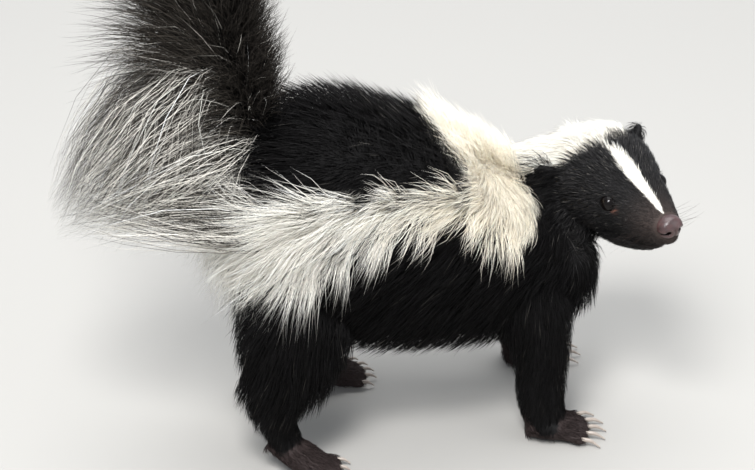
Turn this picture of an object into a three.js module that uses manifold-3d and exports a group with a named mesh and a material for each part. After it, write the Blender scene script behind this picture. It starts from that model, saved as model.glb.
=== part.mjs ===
// A striped skunk standing on four feet, head turned to its right and tail raised in a plume.
// Millimetres, life size. +X runs from rump to chest, +Y to the animal's left, +Z up, soles at z = 0.
// Every solid reaches out to the tips of the coat.
import * as THREE from "three";
import { mergeVertices } from "three/addons/utils/BufferGeometryUtils.js";
import Module from "manifold-3d";

const wasm = await Module();
wasm.setup();

const GAP = 0.3; // clear space kept between neighbouring pieces

// Coat and bare-part colours.
const BLACK_COAT = { color: 0x15130f, roughness: 0.75, metalness: 0 };
const WHITE_COAT = { color: 0xe9e2d2, roughness: 0.8, metalness: 0 };
const PLUME_COAT = { color: 0x8c887e, roughness: 0.85, metalness: 0 };
const NOSE_SKIN = { color: 0x4a3436, roughness: 0.45, metalness: 0 };
const EYE_SURFACE = { color: 0x0a0808, roughness: 0.08, metalness: 0 };
const CLAW_HORN = { color: 0xc9bdb0, roughness: 0.4, metalness: 0 };

// Trunk stations, rump to breast: place along the body, centre height, half width, reach above and below.
const TRUNK = [
  { x: -109, z: 128, side: 10, up: 9, down: 12 },
  { x: -102, z: 131, side: 32, up: 30, down: 38 },
  { x: -84, z: 137, side: 50, up: 52, down: 68 },
  { x: -50, z: 140, side: 58, up: 60, down: 84 },
  { x: -15, z: 134, side: 59, up: 55, down: 87 },
  { x: 20, z: 122, side: 56, up: 55, down: 77 },
  { x: 50, z: 111, side: 50, up: 43, down: 66 },
  { x: 76, z: 100, side: 42, up: 38, down: 52 },
  { x: 91, z: 91, side: 29, up: 32, down: 34 },
  { x: 100, z: 88, side: 9, up: 12, down: 12 },
];

// Neck stations, from inside the shoulders to inside the back of the head.
const NECK = [
  { x: 44, y: 1, z: 104, side: 38, up: 36, down: 38 },
  { x: 62, y: 2, z: 116, side: 37, up: 36, down: 40 },
  { x: 78, y: 1, z: 129, side: 34, up: 32, down: 38 },
  { x: 92, y: -2, z: 142, side: 29, up: 25, down: 32 },
];

// The head has a frame of its own: x forward along the muzzle, y to its left, z up, zero between the ears.
const HEAD = { at: [92.5, -5, 145], yaw: -72, pitch: -7, roll: 6 };
const SKULL = [
  { x: -27, z: -3, side: 12, up: 10, down: 12 },
  { x: -20, z: -3, side: 25, up: 18, down: 22 },
  { x: -8, z: -4, side: 32, up: 22, down: 30 },
  { x: 6, z: -5, side: 33, up: 23, down: 32 },
  { x: 18, z: -7, side: 29, up: 22, down: 29 },
  { x: 30, z: -9.5, side: 20.8, up: 16.4, down: 21.4 },
  { x: 40, z: -12.3, side: 17.7, up: 13, down: 17.9 },
  { x: 49, z: -14.8, side: 13.7, up: 10.2, down: 15 },
  { x: 56, z: -16.5, side: 10.1, up: 7.8, down: 12 },
  { x: 60, z: -17, side: 7.5, up: 5.9, down: 9.8 },
  { x: 63.5, z: -18, side: 3.8, up: 3.4, down: 6 },
];
const JAW = [
  { x: 14, z: -29, side: 16, up: 8, down: 13 },
  { x: 26, z: -29, side: 15, up: 7, down: 11.5 },
  { x: 38, z: -28.5, side: 11.8, up: 5.5, down: 9 },
  { x: 47, z: -28, side: 8.7, up: 4.6, down: 6.7 },
  { x: 54.5, z: -27, side: 4.6, up: 2.5, down: 3.2 },
];
const NOSE = { at: [61.3, 0, -16.2], length: 6.9, halfWidth: 7.7, halfHeight: 6.3 };
const NOSTRIL = { forward: 5.6, aside: 3.6, below: 0.9, radius: 1.6 };
const EYE = { at: [32.4, 17, -7], radius: 4.6 };
const EAR = { base: [-3, 24, -7], tip: [-6, 35, 9], halfLength: 10.5, halfThickness: 4 };

// Tail stations, root to far end: place, half width, and reach ahead of and behind the core.
const TAIL = [
  { x: -84, z: 150, side: 24, ahead: 24, behind: 26 },
  { x: -91, z: 180, side: 34, ahead: 34, behind: 60 },
  { x: -98, z: 212, side: 42, ahead: 42, behind: 80 },
  { x: -105, z: 246, side: 45, ahead: 47, behind: 78 },
  { x: -114, z: 284, side: 46, ahead: 46, behind: 70 },
  { x: -126, z: 320, side: 42, ahead: 40, behind: 58 },
  { x: -141, z: 352, side: 33, ahead: 29, behind: 41 },
  { x: -153, z: 373, side: 18, ahead: 14, behind: 21 },
  { x: -159, z: 383, side: 6, ahead: 5, behind: 6 },
];
const TAIL_LENGTHS = ["tail_root", "tail_middle", "tail_tip"];
const TAIL_CUTS = [0, 0.34, 0.67, 1];
const TAIL_RISE = 240; // the length of the tail's path, to turn a gap into a share of it
// The fringe of long hair that hangs below the plume, behind the rump.
const FRINGE = [
  { x: -193, z: 150, side: 8, up: 12, down: 10 },
  { x: -184, z: 156, side: 20, up: 32, down: 24 },
  { x: -165, z: 160, side: 30, up: 42, down: 38 },
  { x: -140, z: 158, side: 34, up: 42, down: 42 },
  { x: -112, z: 156, side: 28, up: 36, down: 42 },
  { x: -92, z: 152, side: 18, up: 24, down: 30 },
];

// Legs: stations from the root in the trunk down to the ankle. front and back are half lengths, side is a
// half width.
const FORE_LEG = [
  { x: -6, y: 20, z: 108, side: 16, front: 18, back: 22 },
  { x: -4, y: 30, z: 84, side: 21.5, front: 24, back: 25 },
  { x: -2, y: 35, z: 62, side: 18, front: 20, back: 21 },
  { x: -1, y: 36, z: 42, side: 16, front: 18, back: 18 },
  { x: -1, y: 37, z: 26, side: 14.5, front: 16.5, back: 16.5 },
  { x: 1, y: 37, z: 13, side: 13, front: 15, back: 14 },
];
const HIND_LEG = [
  { x: 12, y: 18, z: 118, side: 20, front: 32, back: 26 },
  { x: 8, y: 29, z: 88, side: 25, front: 38, back: 33 },
  { x: 3, y: 34, z: 64, side: 21, front: 31, back: 28 },
  { x: -2, y: 36, z: 50, side: 17, front: 24, back: 24 },
  { x: -4, y: 37, z: 37, side: 13, front: 15, back: 16 },
  { x: -2, y: 37, z: 25, side: 10, front: 10, back: 10 },
  { x: 1, y: 37, z: 15, side: 9, front: 9, back: 9 },
];
// Each leg: where its column stands, how far its ankle is shifted from its root, and where its paw points.
const LEGS = {
  fore_right: { kind: "fore", side: -1, x: 58, shift: 0, pawYaw: -12 },
  fore_left: { kind: "fore", side: 1, x: 66, shift: 0, pawYaw: 6 },
  hind_right: { kind: "hind", side: -1, x: -82, shift: 0, pawYaw: -36 },
  hind_left: { kind: "hind", side: 1, x: -82, shift: 30, pawYaw: 8 },
};
const LEG_SPLIT = { fore: 0.42, hind: 0.5 }; // share of the leg's path above the elbow or knee cut

// Paws, in a frame of their own: x towards the toes, z up from the floor.
const PAWS = {
  fore: {
    palm: [
      { x: -9, z: 9, side: 9, up: 8, down: 9 },
      { x: 0, z: 8, side: 12, up: 8, down: 9 },
      { x: 10, z: 6, side: 12.5, up: 6, down: 7 },
      { x: 17, z: 4.5, side: 10, up: 4, down: 5.5 },
    ],
    toe: { start: 12, length: 13, radius: 3.1, height: 3.3 },
    claw: { length: 10, radius: 1.35, drop: 2.2 },
  },
  hind: {
    palm: [
      { x: -8, z: 17, side: 8, up: 8, down: 8 },
      { x: 2, z: 12, side: 9.5, up: 8, down: 8 },
      { x: 14, z: 6.5, side: 11, up: 6.5, down: 7.5 },
      { x: 24, z: 4, side: 9.5, up: 4, down: 5 },
    ],
    toe: { start: 18, length: 12, radius: 2.9, height: 3.1 },
    claw: { length: 6.5, radius: 1.15, drop: 1.6 },
  },
};
const TOES = 5;
const TOE_SPREAD = 38; // degrees between the outer two toes
const TOE_FAN = 8.4; // half width over which the toes start, across the palm
const TOE_REACH = [-3.2, -0.8, 0, -0.8, -4.2]; // how far each toe falls short of the middle one
const SOLE_DEPTH = 30; // depth of the block that trims the soles flat

const rad = THREE.MathUtils.degToRad;

// Cubic value through evenly numbered samples at t from 0 to 1.
function through(values, t) {
  const place = t * (values.length - 1);
  const i = Math.min(Math.floor(place), values.length - 2);
  const at = (k) => values[THREE.MathUtils.clamp(k, 0, values.length - 1)];
  const [a, b, c, d] = [at(i - 1), at(i), at(i + 1), at(i + 2)];
  const f = place - i;
  return b + 0.5 * f * (c - a + f * (2 * a - 5 * b + 4 * c - d + f * (3 * (b - c) + d - a)));
}

// A closed solid with one oval ring for each step along the stations' path. The rings stand square to the
// path, or to one fixed direction if facing is given. grow swells the solid, and from and to take a length.
function loft(stations, { steps, sides, across = [0, 1, 0], facing, grow = 0, from = 0, to = 1 }) {
  const size = (name, t) => Math.max(through(stations.map((s) => s[name]), t), 0.5);
  const path = new THREE.CatmullRomCurve3(
    stations.map((s) => new THREE.Vector3(s.x, s.y ?? 0, s.z)),
    false,
    "catmullrom",
  );
  const centre = (t, shift, ahead) => path.getPoint(t).addScaledVector(ahead, shift);
  const aheadAt = (t) => (facing ? new THREE.Vector3(...facing) : path.getTangent(t));
  const positions = [];
  for (let i = 0; i <= steps; i++) {
    const t = THREE.MathUtils.lerp(from, to, i / steps);
    const ahead = aheadAt(t);
    const wide = new THREE.Vector3(...across);
    wide.addScaledVector(ahead, -ahead.dot(wide)).normalize();
    const high = new THREE.Vector3().crossVectors(ahead, wide);
    const shift = i === 0 ? -grow : i === steps ? grow : 0;
    for (let k = 0; k < sides; k++) {
      const angle = (2 * Math.PI * k) / sides;
      const reach = size(Math.sin(angle) > 0 ? "up" : "down", t) + grow;
      const point = centre(t, shift, ahead)
        .addScaledVector(wide, Math.cos(angle) * (size("side", t) + grow))
        .addScaledVector(high, Math.sin(angle) * reach);
      positions.push(...point.toArray());
    }
  }
  positions.push(...centre(from, -grow, aheadAt(from)).toArray());
  positions.push(...centre(to, grow, aheadAt(to)).toArray());
  const index = [];
  const first = (steps + 1) * sides;
  for (let k = 0; k < sides; k++) {
    const next = (k + 1) % sides;
    for (let i = 0; i < steps; i++) {
      const [a, b] = [i * sides + k, i * sides + next];
      index.push(a, b, a + sides, b, b + sides, a + sides);
    }
    index.push(first, next, k, first + 1, steps * sides + k, steps * sides + next);
  }
  return solid(new THREE.BufferGeometry()
    .setAttribute("position", new THREE.Float32BufferAttribute(positions, 3))
    .setIndex(index));
}

// A three.js geometry as a solid that can be joined and cut.
function solid(geometry, matrix = new THREE.Matrix4()) {
  const bare = geometry.clone().applyMatrix4(matrix);
  bare.deleteAttribute("normal");
  bare.deleteAttribute("uv");
  const merged = mergeVertices(bare, 1e-4);
  return new wasm.Manifold(
    new wasm.Mesh({
      numProp: 3,
      vertProperties: merged.attributes.position.array,
      triVerts: new Uint32Array(merged.index.array),
    }),
  );
}

// A named mesh from a solid, keeping only the largest piece that the cuts left.
function meshOf(name, shape, look) {
  const body = shape.decompose().sort((a, b) => b.volume() - a.volume())[0];
  const made = body.getMesh();
  const geometry = new THREE.BufferGeometry()
    .setAttribute("position", new THREE.BufferAttribute(made.vertProperties, 3))
    .setIndex(new THREE.BufferAttribute(made.triVerts, 1));
  geometry.computeVertexNormals();
  const mesh = new THREE.Mesh(geometry, new THREE.MeshStandardMaterial(look));
  mesh.name = name;
  return mesh;
}

// An oval ball of the given half sizes.
function ball(at, halfSizes, sides = 10, rows = 7) {
  const place = new THREE.Matrix4().compose(
    new THREE.Vector3(...at),
    new THREE.Quaternion(),
    new THREE.Vector3(...halfSizes),
  );
  return solid(new THREE.SphereGeometry(1, sides, rows), place);
}

const moved = (shape, matrix) => shape.transform(matrix.elements);

// Trunk, neck and their swollen copies that cut their neighbours.
const trunkSize = { steps: 15, sides: 18, facing: [1, 0, 0] };
const trunk = loft(TRUNK, trunkSize);
const trunkCutter = loft(TRUNK, { ...trunkSize, grow: GAP });

const headPlace = new THREE.Matrix4().compose(
  new THREE.Vector3(...HEAD.at),
  new THREE.Quaternion().setFromEuler(
    new THREE.Euler(rad(HEAD.roll), rad(HEAD.pitch), rad(HEAD.yaw), "ZYX"),
  ),
  new THREE.Vector3(1, 1, 1),
);

// Head pieces, in the head's frame.
function makeHead() {
  const skullSize = { steps: 14, sides: 16, facing: [1, 0, 0] };
  const skull = loft(SKULL, skullSize);
  const skullCutter = loft(SKULL, { ...skullSize, grow: GAP });
  const jawSize = { steps: 5, sides: 12, facing: [1, 0, 0] };
  const jaw = loft(JAW, jawSize);
  const noseHalf = [NOSE.length, NOSE.halfWidth, NOSE.halfHeight];
  const nose = ball(NOSE.at, noseHalf);
  const parts = [];
  const eyes = [];
  const cutters = [skullCutter, loft(JAW, { ...jawSize, grow: GAP })];
  let face = skull;
  let noseShape = nose;
  for (const side of [-1, 1]) {
    const word = side < 0 ? "right" : "left";
    const eyeAt = [EYE.at[0], side * EYE.at[1], EYE.at[2]];
    const eye = ball(eyeAt, Array(3).fill(EYE.radius));
    eyes.push(meshOf(`eye_${word}`, eye, EYE_SURFACE));
    face = face.subtract(ball(eyeAt, Array(3).fill(EYE.radius + GAP)));
    const ear = earShape(side);
    parts.push(meshOf(`ear_${word}`, ear.subtract(skullCutter), BLACK_COAT));
    cutters.push(earShape(side, GAP));
    const hole = [NOSE.at[0] + NOSTRIL.forward, side * NOSTRIL.aside, NOSE.at[2] - NOSTRIL.below];
    noseShape = noseShape.subtract(ball(hole, Array(3).fill(NOSTRIL.radius), 6, 4));
  }
  face = face.subtract(ball(NOSE.at, noseHalf.map((h) => h + GAP)));
  parts.push(meshOf("nose", noseShape, NOSE_SKIN));
  parts.push(meshOf("lower_jaw", jaw.subtract(skullCutter), BLACK_COAT));
  parts.push(meshOf("head", face, BLACK_COAT));
  return { parts: [...parts, ...eyes], cutter: wasm.Manifold.union(cutters) };
}

// A small round ear, cupped on the side that faces forward.
function earShape(side, grow = 0) {
  const [base, tip] = [new THREE.Vector3(...EAR.base), new THREE.Vector3(...EAR.tip)];
  const shares = [0, 0.35, 0.7, 0.92, 1];
  const widths = [0.8, 1, 0.86, 0.5, 0.2];
  const stations = shares.map((share, i) => {
    const at = base.clone().lerp(tip, share);
    return {
      x: at.x,
      y: side * at.y,
      z: at.z,
      side: EAR.halfLength * widths[i],
      up: EAR.halfThickness * (0.4 + 0.6 * widths[i]),
      down: EAR.halfThickness * (0.4 + 0.6 * widths[i]),
    };
  });
  const ear = loft(stations, { steps: 5, sides: 10, across: [0.8, -0.6 * side, 0], grow });
  if (grow) return ear;
  const middle = base.clone().lerp(tip, 0.62);
  const cup = ball([middle.x + 5, side * (middle.y + 3.5), middle.z], [5, 5.5, 7.5], 8, 6);
  return ear.subtract(cup);
}

// Tail lengths, with the hanging fringe joined to the first.
function makeTail() {
  const stations = TAIL.map((s) => ({ ...s, up: s.behind, down: s.ahead }));
  const span = { sides: 18, steps: 4 };
  const slit = (2 * GAP) / TAIL_RISE;
  const lengths = TAIL_LENGTHS.map((name, i) =>
    loft(stations, { ...span, from: TAIL_CUTS[i] + (i ? slit : 0), to: TAIL_CUTS[i + 1] }),
  );
  const fringe = loft(FRINGE, { steps: 7, sides: 14, facing: [1, 0, 0] });
  const rest = loft(stations, { sides: 18, steps: 8, grow: 2 * GAP, from: TAIL_CUTS[1], to: 1 });
  lengths[0] = lengths[0].add(fringe.subtract(rest));
  return TAIL_LENGTHS.map((name, i) => meshOf(name, lengths[i].subtract(trunkCutter), PLUME_COAT));
}

// The stations of one leg, in the animal's frame.
function legStations(leg) {
  const model = leg.kind === "fore" ? FORE_LEG : HIND_LEG;
  return model.map((s, i) => ({
    x: leg.x + s.x + leg.shift * (i / (model.length - 1)),
    y: leg.side * s.y,
    z: s.z,
    side: s.side,
    up: s.front,
    down: s.back,
  }));
}

// Upper leg, lower leg, paw and claws of one leg.
function makeLeg(name, leg) {
  const stations = legStations(leg);
  const paw = PAWS[leg.kind];
  const shape = { sides: 12, across: [0, 1, 0] };
  const split = LEG_SPLIT[leg.kind];
  const length = stations[0].z - stations.at(-1).z;
  const upper = loft(stations, { ...shape, steps: 5, to: split });
  const lower = loft(stations, { ...shape, steps: 6, from: split + (1.6 * GAP) / length });
  const ankle = stations.at(-1);
  const floorPlace = new THREE.Matrix4().compose(
    new THREE.Vector3(ankle.x, ankle.y, 0),
    new THREE.Quaternion().setFromEuler(new THREE.Euler(0, 0, rad(leg.pawYaw))),
    new THREE.Vector3(1, 1, 1),
  );
  const { foot, footCutter, claws } = makePaw(name, paw, leg.side);
  const trimmed = lower.subtract(moved(footCutter, floorPlace));
  const group = new THREE.Group();
  group.applyMatrix4(floorPlace);
  group.add(meshOf(`${name}_paw`, foot, BLACK_COAT), ...claws);
  return [
    meshOf(`${name}_upper`, upper.subtract(trunkCutter).subtract(neckCutter), BLACK_COAT),
    meshOf(`${name}_lower`, trimmed.subtract(trunkCutter), BLACK_COAT),
    group,
  ];
}

// One paw with its toes joined, and its claws, in the paw's own frame. side is 1 on the left and -1 on
// the right.
function makePaw(name, paw, side) {
  const floor = solid(
    new THREE.BoxGeometry(120, 120, SOLE_DEPTH),
    new THREE.Matrix4().makeTranslation(0, 0, -SOLE_DEPTH / 2),
  );
  const palmSize = { steps: 5, sides: 10 };
  let foot = loft(paw.palm, palmSize);
  let footCutter = loft(paw.palm, { ...palmSize, grow: GAP });
  const clawSize = { steps: 2, sides: 5 };
  const claws = [];
  for (let i = 0; i < TOES; i++) {
    const share = i / (TOES - 1) - 0.5;
    const angle = rad(-TOE_SPREAD * share * side);
    const reach = TOE_REACH[i];
    const start = new THREE.Vector3(paw.toe.start + reach, -2 * TOE_FAN * share * side, 0);
    const along = (distance, z) => ({
      x: start.x + Math.cos(angle) * distance,
      y: start.y + Math.sin(angle) * distance,
      z,
    });
    const round = (r) => ({ side: r, up: r, down: r });
    const { radius, length, height } = paw.toe;
    const toe = loft(
      [
        { ...along(-3, height), ...round(radius * 0.8) },
        { ...along(length * 0.4, height + 0.9), ...round(radius) },
        { ...along(length * 0.8, height - 0.2), ...round(radius) },
        { ...along(length, height - 0.9), ...round(radius * 0.5) },
      ],
      { steps: 3, sides: 6 },
    );
    foot = foot.add(toe);
    const horn = paw.claw;
    const tip = length * 0.9 + horn.length;
    const clawStations = [
      { ...along(length * 0.82, height + 0.3), ...round(horn.radius) },
      { ...along(length * 0.9 + horn.length * 0.45, height + 0.2), ...round(horn.radius * 0.85) },
      { ...along(tip, height - horn.drop), ...round(0.5) },
    ];
    foot = foot.subtract(loft(clawStations, { ...clawSize, grow: GAP }));
    claws.push([`${name}_claw_${i + 1}`, loft(clawStations, clawSize)]);
  }
  return {
    foot: foot.subtract(floor),
    footCutter,
    claws: claws.map(([clawName, shape]) => meshOf(clawName, shape.subtract(floor), CLAW_HORN)),
  };
}

const head = makeHead();
const headGroup = new THREE.Group();
headGroup.applyMatrix4(headPlace);
headGroup.add(...head.parts);

const headCutter = moved(head.cutter, headPlace);
const neckSize = { steps: 5, sides: 16 };
const neckCutter = loft(NECK, { ...neckSize, grow: GAP });
const neck = loft(NECK, neckSize).subtract(trunkCutter).subtract(headCutter);

const animal = new THREE.Group();
animal.add(meshOf("trunk", trunk.subtract(headCutter), BLACK_COAT));
animal.add(meshOf("neck", neck, WHITE_COAT));
animal.add(headGroup);
animal.add(...makeTail());
for (const [name, leg] of Object.entries(LEGS)) animal.add(...makeLeg(name, leg));

// The whole animal is set with its origin on the floor, under the middle of its outline.
animal.updateMatrixWorld(true);
const outline = new THREE.Box3().setFromObject(animal, true);
const middle = outline.getCenter(new THREE.Vector3());
animal.position.set(-middle.x, -middle.y, 0);

const skunk = new THREE.Group();
skunk.add(animal);
export default skunk;
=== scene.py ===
# Striped skunk: skin, eyes, nose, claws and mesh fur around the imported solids.
import math
import bpy
import bmesh
import numpy as np
from mathutils import Matrix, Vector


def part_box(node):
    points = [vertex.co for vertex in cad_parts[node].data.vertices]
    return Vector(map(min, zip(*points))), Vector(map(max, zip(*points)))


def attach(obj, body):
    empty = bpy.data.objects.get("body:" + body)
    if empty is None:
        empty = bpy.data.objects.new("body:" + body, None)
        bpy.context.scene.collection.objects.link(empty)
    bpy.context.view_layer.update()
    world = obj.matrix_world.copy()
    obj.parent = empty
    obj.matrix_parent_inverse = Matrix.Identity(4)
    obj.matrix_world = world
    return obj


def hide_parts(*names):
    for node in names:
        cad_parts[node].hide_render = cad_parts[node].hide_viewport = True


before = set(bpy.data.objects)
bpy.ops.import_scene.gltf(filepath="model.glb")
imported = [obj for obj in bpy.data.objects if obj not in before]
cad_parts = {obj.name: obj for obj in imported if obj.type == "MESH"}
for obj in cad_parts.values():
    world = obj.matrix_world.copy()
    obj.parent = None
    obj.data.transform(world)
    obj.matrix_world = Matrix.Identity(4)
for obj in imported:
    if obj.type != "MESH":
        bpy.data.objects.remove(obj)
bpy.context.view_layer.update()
rng = np.random.default_rng(4223)

# Body measures below are in millimetres, from the point on the floor under the middle of the body.
trunkLow, trunkHigh = (np.array(corner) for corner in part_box("trunk"))
rumpX = -109.0   # the trunk's rear end
bodyOrigin = np.array([trunkLow[0] - rumpX * 0.001, (trunkLow[1] + trunkHigh[1]) / 2, 0.0])

def toRow(points):
    # millimetres in the body's frame to metres in the model's frame: points * 0.001 + the body's origin
    return points * 0.001 + bodyOrigin

def fromRow(points):
    # the way back: (points - the body's origin) * 1000
    return (points - bodyOrigin) * 1000

def turned(yaw, pitch=0.0, roll=0.0):
    # rotation matrix: roll about x, then pitch about y, then yaw about z, in degrees
    cy, sy = math.cos(math.radians(yaw)), math.sin(math.radians(yaw))
    cp, sp = math.cos(math.radians(pitch)), math.sin(math.radians(pitch))
    cr, sr = math.cos(math.radians(roll)), math.sin(math.radians(roll))
    about = np.array([[cy, -sy, 0], [sy, cy, 0], [0, 0, 1]])
    tip = np.array([[cp, 0, sp], [0, 1, 0], [-sp, 0, cp]])
    lean = np.array([[1, 0, 0], [0, cr, -sr], [0, sr, cr]])
    return about @ tip @ lean

def smooth(low, high, value):
    # 0 below low, 1 above high, and s * s * (3 - 2 s) of the share s between; low may be the larger one
    s = np.clip((value - low) / (high - low), 0, 1)
    return s * s * (3 - 2 * s)

def bump(gap, width):
    # a rounded hill of height 1: e to the power of minus (gap / width) squared
    return np.exp(-((gap / width) ** 2))

def unit(vectors):
    # each vector divided by its own length
    return vectors / np.maximum(np.linalg.norm(vectors, axis=-1, keepdims=True), 1e-9)

def mirrored(point, side):
    # a point or direction of the left side as it is (side 1) or across the middle (side -1)
    return np.array(point, float) * [1, side, 1]

def sideSigns(local):
    # 1, the sign of y, 1 for each point: the factors that fold both sides onto one
    return np.stack([np.ones(len(local)), np.sign(local[:, 1]), np.ones(len(local))], 1)

def through(values, t):
    # Catmull-Rom curve through evenly numbered values, for an array of t from 0 to 1
    values = np.asarray(values, float)
    last = len(values) - 1
    place = np.clip(t, 0, 1) * last
    i = np.minimum(place.astype(int), last - 1)
    f = (place - i).reshape((-1,) + (1,) * (values.ndim - 1))
    a, b, c, d = values[np.maximum(i - 1, 0)], values[i], values[i + 1], values[np.minimum(i + 2, last)]
    return b + 0.5 * f * (c - a + f * (2 * a - 5 * b + 4 * c - d + f * (3 * (b - c) + d - a)))

def loft(rows, across=(0, 1, 0), facing=None, steps=40, sides=36):
    # rows of x, y, z, half width, reach above, reach below; the surface is
    # centre(t) + across * side(t) * cos(a) + high * (up or down)(t) * sin(a), with flat ends
    rows = np.asarray(rows, float)
    t = np.linspace(0, 1, steps + 1)
    centre = through(rows[:, :3], t)
    if facing is None:
        ahead = unit(np.gradient(centre, axis=0))
    else:
        ahead = np.tile(np.array(facing, float), (len(t), 1))
    across = np.asarray(across, float)
    wide = unit(across - ahead * (ahead @ across)[:, None])
    high = np.cross(ahead, wide)
    side, up, down = (np.maximum(through(rows[:, k], t), 0.4) for k in (3, 4, 5))
    angle = np.linspace(0, 2 * np.pi, sides, endpoint=False)
    reach = np.where(np.sin(angle)[None] > 0, up[:, None], down[:, None])
    ring = (centre[:, None] + wide[:, None] * (side[:, None] * np.cos(angle))[..., None]
            + high[:, None] * (reach * np.sin(angle))[..., None])
    points = np.concatenate([ring.reshape(-1, 3), centre[:1], centre[-1:]])
    i, k = np.meshgrid(np.arange(steps), np.arange(sides), indexing="ij")
    a, b = (i * sides + k).ravel(), (i * sides + (k + 1) % sides).ravel()
    walls = np.concatenate([np.stack([a, b, a + sides], 1), np.stack([b, b + sides, a + sides], 1)])
    k = np.arange(sides)
    first = len(points) - 2
    near = np.stack([np.full(sides, first), (k + 1) % sides, k], 1)
    far = np.stack([np.full(sides, first + 1), steps * sides + k, steps * sides + (k + 1) % sides], 1)
    return points, np.concatenate([walls, near, far])

def joined(parts):
    # all points in one list, and each part's face numbers raised by the points before it
    points, faces, base = [], [], 0
    for p, f in parts:
        points.append(p)
        faces.append(f + base)
        base += len(p)
    return np.concatenate(points), np.concatenate(faces)

def newObject(name, data):
    # an object at the origin, in the scene
    made = bpy.data.objects.new(name, data)
    bpy.context.scene.collection.objects.link(made)
    return made

def meshObject(name, points, faces, material=None):
    # a new object from points in metres and a list of faces, shaded smooth
    mesh = bpy.data.meshes.new(name)
    mesh.from_pydata(points.tolist(), [], faces.tolist() if hasattr(faces, "tolist") else faces)
    mesh.polygons.foreach_set("use_smooth", np.ones(len(mesh.polygons), bool))
    mesh.update()
    if material:
        mesh.materials.append(material)
    return newObject(name, mesh)

def pointsOf(mesh, what="co"):
    # each vertex's place, or its normal, as rows of x, y, z
    out = np.zeros(len(mesh.vertices) * 3, np.float32)
    if what == "co":
        mesh.vertices.foreach_get("co", out)
    else:
        mesh.vertex_normals.foreach_get("vector", out)
    return out.reshape(-1, 3).astype(float)

def paintPoints(mesh, name, rgb):
    # a colour attribute with one row of rgb for each vertex
    paint = mesh.color_attributes.new(name, "FLOAT_COLOR", "POINT")
    rgba = np.concatenate([rgb, np.ones((len(rgb), 1))], 1)
    paint.data.foreach_set("color", rgba.astype(np.float32).ravel())

def turnTo(item, right, up, back, place):
    # a camera's or lamp's matrix: its right, up and backward directions as columns, then its place
    basis = np.eye(4)
    basis[:3, 0], basis[:3, 1], basis[:3, 2], basis[:3, 3] = right, up, back, place
    item.matrix_world = Matrix(basis.tolist())

# Camera, at the photograph's angle, and the studio
view = {"azimuth": -13.0, "elevation": 30.0, "distance": 1600.0, "pixelsAcross": 755, "focalPixels": 2946.0,
        "mmPerPixel": 0.54, "groundPixel": (420, 411), "middlePixel": (377.5, 235), "sensor": 36,
        "farthest": 20}
studio = {"floorHalf": 4.0, "paper": (0.40, 0.388, 0.366), "paperRough": 0.8, "sky": (0.86, 0.92, 1.0),
          "skyPower": 0.7, "aim": (0, 0, 0.13)}
# Place in metres, size in metres, power in watts
lamps = {"key": ((-0.55, -1.0, 1.7), 0.75, 38), "top": ((0.2, 0.5, 1.9), 1.6, 29),
         "fill": ((1.3, -0.9, 0.9), 1.2, 7), "spark": ((-0.30, -0.74, 1.5), 0.3, 10)}

def makeCamera():
    # looks along a line turned by the azimuth and tipped by the elevation; the aim lies as far from the point
    # on the floor under the body as the picture's middle lies from that point's pixel
    a, e = math.radians(view["azimuth"]), math.radians(view["elevation"])
    right = np.array([math.cos(a), math.sin(a), 0])
    into = np.array([-math.sin(a) * math.cos(e), math.cos(a) * math.cos(e), -math.sin(e)])
    up = np.cross(right, into)
    scale = view["mmPerPixel"]
    aim = (right * (view["middlePixel"][0] - view["groundPixel"][0]) * scale
           + up * (view["groundPixel"][1] - view["middlePixel"][1]) * scale)
    data = bpy.data.cameras.new("camera")
    data.lens = view["sensor"] * view["focalPixels"] / view["pixelsAcross"]
    data.sensor_width = view["sensor"]
    data.clip_end = view["farthest"]
    camera = newObject("camera", data)
    turnTo(camera, right, up, -into, toRow(aim - into * view["distance"]))
    bpy.context.scene.camera = camera
    bpy.context.scene.view_settings.view_transform = "Standard"

def makeStudio():
    # a square floor, an even sky, and square lamps that shine at the aim
    half = studio["floorHalf"]
    points = np.array([[-half, -half, 0], [half, -half, 0], [half, half, 0], [-half, half, 0]])
    paper = plain("floorPaper", studio["paper"], studio["paperRough"])
    floor = meshObject("floor", points, [[0, 1, 2, 3]], paper)
    world = bpy.data.worlds.new("sky")
    world.use_nodes = True
    sky = world.node_tree.nodes["Background"]
    sky.inputs["Color"].default_value = (*studio["sky"], 1)
    sky.inputs["Strength"].default_value = studio["skyPower"]
    bpy.context.scene.world = world
    for name, (place, size, power) in lamps.items():
        data = bpy.data.lights.new(name, "AREA")
        data.size, data.energy = size, power
        back = unit(np.array(place) - np.array(studio["aim"]))
        side = unit(np.cross([0, 0, 1.0], back))
        turnTo(newObject(name, data), side, np.cross(back, side), back, place)
    print("camera and studio made")

# Materials
colourA, colourB, colourOut = 6, 7, 2   # a Mix node's sockets for colours

def plain(name, colour, rough):
    # one colour and roughness, on the shader's own sockets
    material = bpy.data.materials.new(name)
    material.use_nodes = True
    shader = material.node_tree.nodes["Principled BSDF"]
    shader.inputs["Base Color"].default_value = (*colour, 1)
    shader.inputs["Roughness"].default_value = rough
    return material

def addNode(tree, kind, values=(), **settings):
    # a node with its settings as attributes and its values on the named sockets
    made = tree.nodes.new(kind)
    for key, value in settings.items():
        setattr(made, key, value)
    for key, value in dict(values).items():
        made.inputs[key].default_value = value
    return made

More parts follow.
